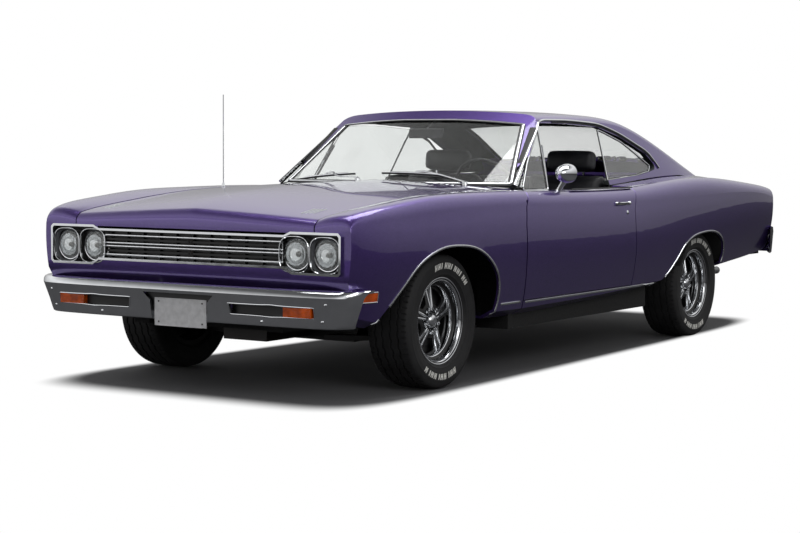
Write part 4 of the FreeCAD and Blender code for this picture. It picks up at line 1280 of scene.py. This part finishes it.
def beside_rear_seat(place, normal):
    return inner_side(place, normal) and place.z > 0.5 and place.y < at(0, 2900, 0).y


def on_floor(place, normal):
    return normal.z > 0.3 and place.y < at(0, 3000, 0).y and abs(place.x) < 0.8


def behind_rear_seat(place, normal):
    return (normal.z > 0.5 and place.z > 0.8) or (normal.y < -0.5 and place.z > 0.47 and abs(place.x) < 0.7)


LININGS = [
    ("headliner", "roof_panel", under_roof, 0.002, stitched_headliner, "interior_plastic"),
    ("door_card_left", "door_left", inner_side, 0.003, grained_vinyl, "seat_vinyl"),
    ("door_card_right", "door_right", inner_side, 0.003, grained_vinyl, "seat_vinyl"),
    ("quarter_trim", "quarter_panels", beside_rear_seat, 0.002, grained_vinyl, "seat_vinyl"),
    ("carpet", "floor_pan", on_floor, 0.005, looped_carpet, "interior_plastic"),
    ("rear_shelf", "rear_frame", behind_rear_seat, 0.002, grained_vinyl, "interior_plastic"),
]
BINNACLE = {176: 14, 182: 5, 200: 0, 540: 0, 558: 5, 564: 14}
DIALS = [(262, 46), (372, 46), (470, 40)]
DIAL_MARKS = 9
KNOBS = (-20, 40)
MIRROR_GLASS = [(-104, 1197), (104, 1197), (108, 1218), (104, 1239), (-104, 1239), (-108, 1218)]


class CAR_OT_cabin(Operator):
    """Lines the cabin and fits the dials, the steering wheel and the mirror glass"""
    bl_idname = "car.cabin"
    bl_label = "Cabin"

    def execute(self, context):
        for name, node, chosen, lift, make, slot in LININGS:
            lining(name, node, chosen, lift, make, slot)
        self.dash()
        self.steering_wheel()
        edge = [at(x, 1241.5, z) for x, z in MIRROR_GLASS]
        ends = [list(range(6)), list(range(11, 5, -1))]
        sides = [[i, (i + 1) % 6, 6 + (i + 1) % 6, 6 + i] for i in range(6)]
        glass = Shape()
        glass.add(edge + [p + BACK * 0.002 for p in edge], ends + sides)
        glass.piece("inside_mirror_glass", "body", [silvered_mirror], "bright_steel")
        return {"FINISHED"}

    def dash(self):
        hood = Shape()
        rows = []
        for x, inset in BINNACLE.items():
            outline = [(1030, 903), (1080, 915 - inset), (1098, 912 - inset), (1104 - inset, 900 - inset),
                       (1070, 880), (1058, 800), (1066, 776 + inset), (1040, 772)]
            rows.append([at(x, y, z) for y, z in outline])
        rings(hood, rows)
        sweep(hood, [at(x, 1048, 905) for x in range(-690, 691, 60)], UP, half_round(0.05, 0.012))
        hood.piece("dash_binnacle", "body", [moulded_cabin_plastic], "interior_plastic")
        dials = Shape()
        for x, radius in DIALS:
            centre = at(x, 1061, 838)
            ring = millimetres([(0, radius), (4, radius + 1.5), (5, radius - 1), (1, radius - 3)])
            revolve(dials, ring, centre, BACK, 0, turns=40)
            revolve(dials, millimetres([(1, radius - 3), (1, 0)]), centre, BACK, 1, turns=40)
            for i in range(DIAL_MARKS):
                turn = math.radians(210 - 30 * i)
                ahead = Vector((-math.cos(turn), 0, math.sin(turn)))
                path = [centre + BACK * 0.0018 + ahead * r / 1000 for r in (radius - 12, radius - 6)]
                tube(dials, path, 0.0008, BACK, 2, turns=6)
            pivot = centre + BACK * 0.0025
            tube(dials, [pivot, pivot + Vector((0.02, 0, 0.022))], 0.0009, BACK, 3, turns=6)
        for x in KNOBS:
            bolt(dials, at(x, 1060, 820), BACK, 0.011, 0.018)
        dials.piece("dials", "body", [polished_chrome, moulded_cabin_plastic, raised_white_rubber, moulded_red_lens],
                    "interior_plastic")

    def steering_wheel(self):
        shape = Shape()
        ring = [on_wheel(7.5 * i, 190) for i in range(48)]
        tube(shape, ring, 0.0105, WHEEL_AXIS, 0, closed=True)
        for angle in (-8, 188, 270):
            run = [on_wheel(angle, r, out) for r, out in ((36, -26), (80, -22), (130, -14), (184, -3))]
            sweep(shape, run, WHEEL_AXIS, millimetres([(-13, -2), (-13, 2), (13, 2), (13, -2)]), 1)
        revolve(shape, millimetres([(-60, 24), (-34, 28), (-28, 44), (-14, 48), (-6, 42), (-2, 26), (-1, 0)]),
                on_wheel(0, 0), WHEEL_AXIS, 0, turns=40)
        shape.piece("steering_wheel_grip", body_of("steering_wheel"), [moulded_cabin_plastic, anodised_moulding],
                    "interior_plastic", ("steering_wheel",))


SIDE_OPENING = [(1340, 1279), (1400, 1290), (1500, 1292), (1670, 1293), (1860, 1288), (2052, 1278), (2190, 1252),
                (2310, 1221), (2450, 1174), (2588, 1124), (2650, 1076), (2696, 1026)]
PILLAR_TOP, PILLAR_LOW, PILLAR_FOOT_Z = (1296, 1243), (1140, 1131), 0.948
PILLAR_STEPS = 12
VENT_BAR = [(-9, -13), (-9, 1), (-6, 4), (6, 4), (9, 1), (9, -13)]
HANDLE_Z = 841
HANDLE_RISE = [(1655, 0.5), (1668, 12), (1690, 17), (1732, 19), (1775, 17), (1796, 12), (1807, 0.5)]
HANDLE_SECTION = [(-8, 0), (-8, 3), (-5, 6), (5, 6), (8, 3), (8, 0), (5, -2), (-5, -2)]
BUTTON_AND_LOCK = [(1822, HANDLE_Z, 0.011, 0.014), (1790, 790, 0.012, 0.005)]
ARMREST_SECTION = [(-24, 0), (-26, 30), (-18, 46), (18, 46), (26, 30), (24, 0)]
MIRROR_PROFILE = [(-29, 43), (-33, 47), (-31, 50), (-20, 51), (0, 50.5), (25, 47), (46, 39), (62, 28), (73, 15),
                  (78, 0)]
MIRROR_STEM = [(0, 22, 40), (0.06, 19, 35), (0.2, 14, 27), (0.6, 12, 22), (1.0, 15, 26)]
MARKER_EDGE = [(-782, 461), (-646, 461), (-646, 505), (-782, 505)]
WIPERS = [((478, 846), (330, 866), (372, -60)), ((-176, 812), (-330, 850), (-236, -640))]
TAIL_LAMP_EDGES = (330, 490, 650, 810)


class CAR_OT_trim(Operator):
    """Fits the drip rails, window frames, handles, mirror, wipers, vents, sills and tail trim"""
    bl_idname = "car.trim"
    bl_label = "Outer trim"

    def execute(self, context):
        self.windows()
        self.doors()
        self.sides()
        self.cowl()
        self.tail()
        return {"FINISHED"}

    def windows(self):
        size = sizes()
        rails, seals = Shape(), Shape()
        path, ups = along_side(flat_run(SIDE_OPENING, 22), ("roof_panel",), 0.001)
        upper, lower = (beside("roof_panel", y, z)[0] for y, z in (PILLAR_TOP, PILLAR_LOW))
        foot = lower + (lower - upper) * ((lower.z - PILLAR_FOOT_Z) / (upper.z - lower.z))
        post = [foot.lerp(upper, i / PILLAR_STEPS) + LEFT * 0.002 for i in range(PILLAR_STEPS + 1)]
        # A wide black rubber strip over the painted A-pillar beside the windshield: it widens the seal and is painted
        # shade that keeps the pillar dark under the top light.
        pillar_painted_shade, faced = [], []
        for place in post[5:]:
            hit, normal, _, _ = skin_of(("roof_panel",)).find_nearest(place + Vector((-0.01, -0.02, 0.013)))
            pillar_painted_shade.append(hit + normal * 0.0004)
            faced.append(normal)
        sweep(seals, pillar_painted_shade, faced, half_round(0.036, 0.0016))
        sweep(rails, post + path, [ups[0]] * len(post) + ups, half_round(size.rail_width, 0.009))
        below = [(y, z - 11) for y, z in flat_run(SIDE_OPENING[2:-1], 22)]
        sweep(seals, *along_side(below, ("roof_panel",), 0.0), half_round(0.008, 0.004))
        frame_round(rails, "quarter_windows", LEFT, half_round(0.009, 0.004), lift=0.0005)
        frame_round(seals, "quarter_windows", LEFT, half_round(0.016, 0.002), lift=0.0005)
        rails.both().piece("drip_rails", "body", [polished_chrome], "chrome_plate")
        seals.both().piece("window_seals", "body", [extruded_rubber_seal], "interior_plastic")

    def doors(self):
        left, card, mirror = self.door_outside(), self.armrest(), self.mirror()
        right = left.mirrored()
        left.join(mirror)
        makes = [polished_chrome, extruded_rubber_seal, silvered_mirror]
        left.piece("door_brightwork_left", body_of("door_left"), makes, "chrome_plate", ("door_chrome_left",))
        right.piece("door_brightwork_right", body_of("door_right"), makes[:2], "chrome_plate", ("door_chrome_right",))
        for side, shape in (("left", card), ("right", card.mirrored())):
            shape.piece("door_armrest_" + side, body_of("door_" + side), [grained_vinyl, polished_chrome],
                        "seat_vinyl")

    def door_outside(self):
        left = Shape()
        frame_round(left, "vent_glass_left", LEFT, half_round(0.009, 0.005), lift=0.0005)
        frame_round(left, "vent_glass_left", LEFT, half_round(0.017, 0.002), 1, lift=0.0005)
        low, high = (beside("vent_glass_left", y, z)[0] for y, z in ((1190, 930), (1308, 1232)))
        bar = [low + at(0, 16, -6) - at(0, 0, 0), high + at(0, 17, 6) - at(0, 0, 0)]
        sweep(left, bar, LEFT, millimetres(VENT_BAR))
        grip = [beside("door_left", y, HANDLE_Z)[0] + LEFT * rise / 1000 for y, rise in HANDLE_RISE]
        sweep(left, grip, LEFT, millimetres(HANDLE_SECTION))
        for y, z, radius, height in BUTTON_AND_LOCK:
            bolt(left, *beside("door_left", y, z), radius, height)
        slot_line = []
        for y in range(1215, 1960, 40):
            hit, _ = beside("door_left", y, 905)
            slot_line.append(Vector((hit.x - 0.016, hit.y, at(0, 0, 923).z)))
        return sweep(left, slot_line, UP, half_round(0.014, 0.006), 1)

    def armrest(self):
        card = Shape()
        rest = []
        for y in range(1330, 1861, 53):
            hit, _ = touch(("door_left",), at(0, y, 640), LEFT)
            rest.append(hit - LEFT * 0.006)
        sweep(card, rest, -LEFT, millimetres(ARMREST_SECTION))
        hit, _ = touch(("door_left",), at(0, 1500, 760), LEFT)
        knee, tip = hit + Vector((-0.034, 0.08, 0.02)), hit + Vector((-0.066, 0.08, 0.02))
        tube(card, [hit, hit - LEFT * 0.03], 0.012, UP, 1)
        tube(card, [hit - LEFT * 0.03, knee], 0.006, LEFT, 1)
        return tube(card, [knee, tip], 0.011)

    def mirror(self):
        mirror = Shape()
        centre = at(915, 1140, 1010)
        revolve(mirror, millimetres(MIRROR_PROFILE), centre, -BACK, 0, turns=48)
        revolve(mirror, millimetres([(-30, 44), (-30, 0)]), centre, -BACK, 2, turns=48)
        rows = []
        for share, wide, deep in MIRROR_STEM:
            middle = at(868, 1118, 900).lerp(at(908, 1136, 968), share)
            rows.append([middle + Vector((wide * math.cos(a), deep * math.sin(a), 0)) / 1000
                         for a in [math.pi * i / 10 for i in range(20)]])
        return rings(mirror, rows)

    def sides(self):
        shape = Shape()
        line = half_round(0.013, 0.005)
        sweep(shape, *along_side([(y, 373) for y in range(656, 2221, 46)], ("rockers",), 0.0005), line)
        sweep(shape, *along_side([(y, 378) for y in range(412, 641, 38)], ("front_fenders",), 0.0005), line)
        path, ups = along_side(square_run(MARKER_EDGE, 8), ("front_fenders", "amber_lamps"), 0.001)
        sweep(shape, path, ups, half_round(0.007, 0.005), closed=True)
        shape.both().piece("side_brightwork", "body", [polished_chrome], "chrome_plate")
        shield = block(Shape(), at(0, -766, 748), at(846, -650, 752))
        shield = block(shield, at(470, -654, 748), at(846, -650, 770)).both()
        shield.piece("bay_shield", "body", [satin_black_enamel], "underbody_black")
        badge = Shape()
        for x in (565, 582, 599, 616):
            run = []
            for y in (-712, -660, -606):
                hit, normal = on_top(("hood",), x, y + (x - 590) * 0.4)
                run.append(hit + normal * 0.0008)
            sweep(badge, run, UP, half_round(0.006, 0.003))
        badge.both().piece("hood_badges", "hood", [polished_chrome], "chrome_plate")

    def cowl(self):
        vents = Shape()
        for x in range(-520, 521, 40):
            if abs(x) >= 30:
                path = [on_top(("cowl_panel",), x, y)[0] + UP * 0.0006 for y in (738, 760, 782)]
                sweep(vents, path, UP, half_round(0.009, 0.001))
        vents.piece("cowl_vents", "body", [satin_black_enamel], "grille_black")
        wipers = Shape()
        under = ("windshield", "cowl_panel")
        for foot, elbow, ends in WIPERS:
            blade = []
            for i in range(9):
                x = ends[0] + (ends[1] - ends[0]) * i / 8
                blade.append(on_top(under, x, 876 + 28 * (x / 640) ** 2)[0] + UP * 0.011)
            sweep(wipers, blade, UP, millimetres([(-2, -9), (-3, 1), (3, 1), (2, -9)]), 1)
            sweep(wipers, [p + UP * 0.002 for p in blade[1:-1]], UP, half_round(0.008, 0.005))
            start, bend = on_top(under, *foot)[0], on_top(under, *elbow)[0]
            arm = smooth([start + UP * 0.016, bend + UP * 0.024, blade[3] + UP * 0.012, blade[4] + UP * 0.007], 5)
            sweep(wipers, arm, UP, half_round(0.012, 0.006))
            revolve(wipers, millimetres([(-10, 15), (12, 15), (19, 11), (21, 0)]), start, UP, 0, turns=24)
        wipers.piece("wiper_arms", "body", [anodised_moulding, extruded_rubber_seal], "chrome_plate", ("wipers",))

    def tail(self):
        shape = Shape()
        for low, high in zip(TAIL_LAMP_EDGES, TAIL_LAMP_EDGES[1:]):
            edge = square_run([(low, 690), (high, 690), (high, 800), (low, 800)], 12)
            sweep(shape, [at(x, 4190, z) for x, z in edge], BACK, half_round(0.009, 0.006), closed=True)
            for z in (717, 745, 773):
                sweep(shape, [at(low + 6, 4190, z), at(high - 6, 4190, z)], BACK, half_round(0.004, 0.003))
        for x in (240, 620):
            bolt(shape, *touch(("rear_bumper",), at(x, 4600, 560), -BACK), 0.009, 0.005)
        shape = shape.both()
        sweep(shape, [at(x, 4172, 845) for x in range(-860, 861, 40)], BACK, half_round(0.012, 0.005))
        shape.piece("tail_brightwork", "body", [polished_chrome], "chrome_plate")


CAMERA_PLACE = (5298.5, -7232.6, 1138.1)
CAMERA_ANGLES = (0.5723, 0.0655, 0.0048)
CAMERA_SHIFT = (-0.00315, -0.00022)
FOCAL_PIXELS, PICTURE_WIDTH = 1803.8, 800
SENSOR = 36.0


class CAR_OT_stage(Operator):
    """Sets the floor, lights, background and camera"""
    bl_idname = "car.stage"
    bl_label = "Floor, light and camera"

    def execute(self, context):
        stage = context.scene.car_stage
        count = 96
        floor = bpy.data.meshes.new("floor")
        edge = [(stage.floor_radius * math.cos(2 * math.pi * i / count),
                 stage.floor_radius * math.sin(2 * math.pi * i / count), 0) for i in range(count)]
        floor.from_pydata(edge, [], [list(range(count))])
        ground = bpy.data.objects.new("floor", floor)
        context.scene.collection.objects.link(ground)
        floor.materials.append(use(pale_floor))
        for name, place, target, width, depth, power in (
                ("light_above", (0.6, -0.4, 5.2), (0, 0, 0.6), 6.5, 3.0, stage.key_power),
                ("light_side", (6.0, -4.5, 3.2), (0, -0.3, 0.7), 4.0, 2.2, stage.side_power),
                ("light_card", (-5.5, -8.0, 1.6), (0, -2.0, 0.6), 8.0, 3.0, stage.card_power)):
            lamp = bpy.data.lights.new(name, "AREA")
            lamp.shape, lamp.size, lamp.size_y, lamp.energy = "RECTANGLE", width, depth, power
            light = bpy.data.objects.new(name, lamp)
            context.scene.collection.objects.link(light)
            light.location = place
            light.rotation_euler = (Vector(target) - Vector(place)).to_track_quat("-Z", "Y").to_euler()
        self.sky(context, stage.sky)
        self.camera(context)
        context.scene.view_settings.view_transform = "Standard"
        return {"FINISHED"}

    def sky(self, context, strength):
        world = bpy.data.worlds.new("studio")
        context.scene.world = world
        world.use_nodes = True
        tree = world.node_tree
        tree.nodes.clear()
        # The eye and the glass see plain white. Paint and chrome see it too, softer towards the horizon, with a
        # black flag overhead that keeps the windshield clear.
        path = add(tree, "ShaderNodeLightPath")
        seen = seen_by_eye(tree, path)
        ways = add(tree, "ShaderNodeTexCoord")
        height = add(tree, "ShaderNodeSeparateXYZ", links={"Vector": ways.outputs["Generated"]}).outputs[2]
        dome = add(tree, "ShaderNodeMapRange", {"From Min": 0.0, "From Max": 0.5, "To Min": 0.3, "To Max": 1.0},
                   {"Value": height})
        flag = add(tree, "ShaderNodeMapRange", {"From Min": 0.55, "From Max": 0.78, "To Min": 1.0, "To Max": 0.12},
                   {"Value": height})
        above = maths(tree, "MULTIPLY", dome.outputs[0], flag.outputs[0])
        mirrored = add(tree, "ShaderNodeMapRange", {"To Min": strength},
                       {"Value": path.outputs["Is Glossy Ray"], "To Max": above})
        level = add(tree, "ShaderNodeMapRange", {"To Max": 1.0}, {"Value": seen, "To Min": mirrored.outputs[0]})
        light = add(tree, "ShaderNodeBackground", {"Color": (1, 1, 1, 1)}, {"Strength": level.outputs[0]})
        add(tree, "ShaderNodeOutputWorld", links={"Surface": light.outputs[0]})

    def camera(self, context):
        turn, tilt, roll = CAMERA_ANGLES
        ahead = Vector((-math.sin(turn) * math.cos(tilt), math.cos(turn) * math.cos(tilt), -math.sin(tilt)))
        right = Vector((math.cos(turn), math.sin(turn), 0))
        above = right.cross(ahead)
        right, above = (right * math.cos(roll) + above * math.sin(roll),
                        above * math.cos(roll) - right * math.sin(roll))
        camera = bpy.data.cameras.new("camera")
        camera.sensor_width, camera.lens = SENSOR, FOCAL_PIXELS / PICTURE_WIDTH * SENSOR
        camera.shift_x, camera.shift_y = CAMERA_SHIFT
        camera.clip_end = 200.0
        eye = bpy.data.objects.new("camera", camera)
        context.scene.collection.objects.link(eye)
        turned = Matrix((right, above, -ahead)).transposed().to_4x4()
        turned.translation = at(*CAMERA_PLACE)
        eye.matrix_world = turned
        context.scene.camera = eye


def seen_by_eye(tree, path):
    """One for what the eye sees straight or through glass, and zero for light that only falls on things."""
    through = maths(tree, "MAXIMUM", path.outputs["Is Camera Ray"], path.outputs["Is Transmission Ray"])
    direct = maths(tree, "LESS_THAN", path.outputs["Diffuse Depth"], 0.5)
    return maths(tree, "MULTIPLY", through, direct)


# The painted shadow on the floor: a rounded rectangle round the car's footprint, narrowing slightly towards the back.
SHADOW_POOL_HALF_LENGTH = 2.58
SHADOW_POOL_HALF_WIDTH = 0.885
SHADOW_POOL_TAPER = -0.04
SHADOW_POOL_SQUARENESS = 8.0
# Share of black mixed into the floor as reflections see it: a painted dark reflection in paint and chrome.
FLOOR_PAINTED_DARK_REFLECTION = 0.5


@finish(Roughness=0.85)
def pale_floor(own, tree, shader, place):
    # Painted studio floor: matt grey where the car stands, a painted shadow round its footprint, fading to the white
    # backdrop. The eye sees the white part at full strength, so it has no edge; paint and chrome see the floor as lit
    # grey mixed half with black, a painted dark reflection.
    grain = noise(tree, place, 6.0, 6.0)
    shade(tree, shader, grain, scaled(own.floor, 0.9), scaled(own.floor, 1.1))
    parts = add(tree, "ShaderNodeSeparateXYZ", links={"Vector": place})
    narrow = maths(tree, "MULTIPLY_ADD", parts.outputs[1], SHADOW_POOL_TAPER, SHADOW_POOL_HALF_WIDTH)
    wide = maths(tree, "DIVIDE", parts.outputs[0], narrow)
    long = maths(tree, "MULTIPLY", parts.outputs[1], 1 / SHADOW_POOL_HALF_LENGTH)
    sides = [maths(tree, "ABSOLUTE", way) for way in (wide, long)]
    powers = [maths(tree, "POWER", side, SHADOW_POOL_SQUARENESS) for side in sides]
    total = maths(tree, "ADD", *powers)
    reach = maths(tree, "POWER", total, 1 / SHADOW_POOL_SQUARENESS)
    beyond_painted_shadow = add(tree, "ShaderNodeMapRange", {"From Min": 0.94, "From Max": 1.05}, {"Value": reach},
               interpolation_type="SMOOTHSTEP").outputs[0]
    path = add(tree, "ShaderNodeLightPath")
    seen = seen_by_eye(tree, path)
    bright = maths(tree, "MULTIPLY", seen, beyond_painted_shadow)
    white = add(tree, "ShaderNodeEmission", {"Color": (1, 1, 1, 1), "Strength": 1.0})
    # Reflections see the floor half mixed with black: a painted dark reflection.
    painted_dark_reflection = maths(tree, "MULTIPLY", path.outputs["Is Glossy Ray"], FLOOR_PAINTED_DARK_REFLECTION)
    dark = add(tree, "ShaderNodeEmission", {"Color": (0, 0, 0, 1), "Strength": 0.0})
    lit = add(tree, "ShaderNodeMixShader", links={0: painted_dark_reflection, 1: shader.outputs[0], 2: dark.outputs[0]})
    mix = add(tree, "ShaderNodeMixShader", links={0: bright, 1: lit.outputs[0], 2: white.outputs[0]})
    tree.links.new(mix.outputs[0], tree.nodes["Material Output"].inputs["Surface"])


OPERATORS = [CAR_OT_panels, CAR_OT_nose, CAR_OT_mouldings, CAR_OT_wheels, CAR_OT_lamps, CAR_OT_front, CAR_OT_seats,
             CAR_OT_cabin, CAR_OT_trim, CAR_OT_stage]


class CAR_PT_sidebar(Panel):
    """Lists the steps that dress the car"""
    bl_idname = "CAR_PT_sidebar"
    bl_label = "Muscle car"
    bl_space_type = "VIEW_3D"
    bl_region_type = "UI"
    bl_category = "Muscle car"

    def draw(self, context):
        for operator in OPERATORS:
            self.layout.operator(operator.bl_idname)


GROUPS = {"car_colours": CarColours, "car_sizes": CarSizes, "car_stage": StageSizes}


def register():
    for item in [*GROUPS.values(), *OPERATORS, CAR_PT_sidebar]:
        bpy.utils.register_class(item)
    for name, group in GROUPS.items():
        setattr(bpy.types.Scene, name, PointerProperty(type=group))


def unregister():
    for name in GROUPS:
        delattr(bpy.types.Scene, name)
    for item in reversed([*GROUPS.values(), *OPERATORS, CAR_PT_sidebar]):
        bpy.utils.unregister_class(item)


def main():
    register()
    for operator in OPERATORS:
        group, name = operator.bl_idname.split(".")
        getattr(getattr(bpy.ops, group), name)()


if __name__ == "__main__":
    main()
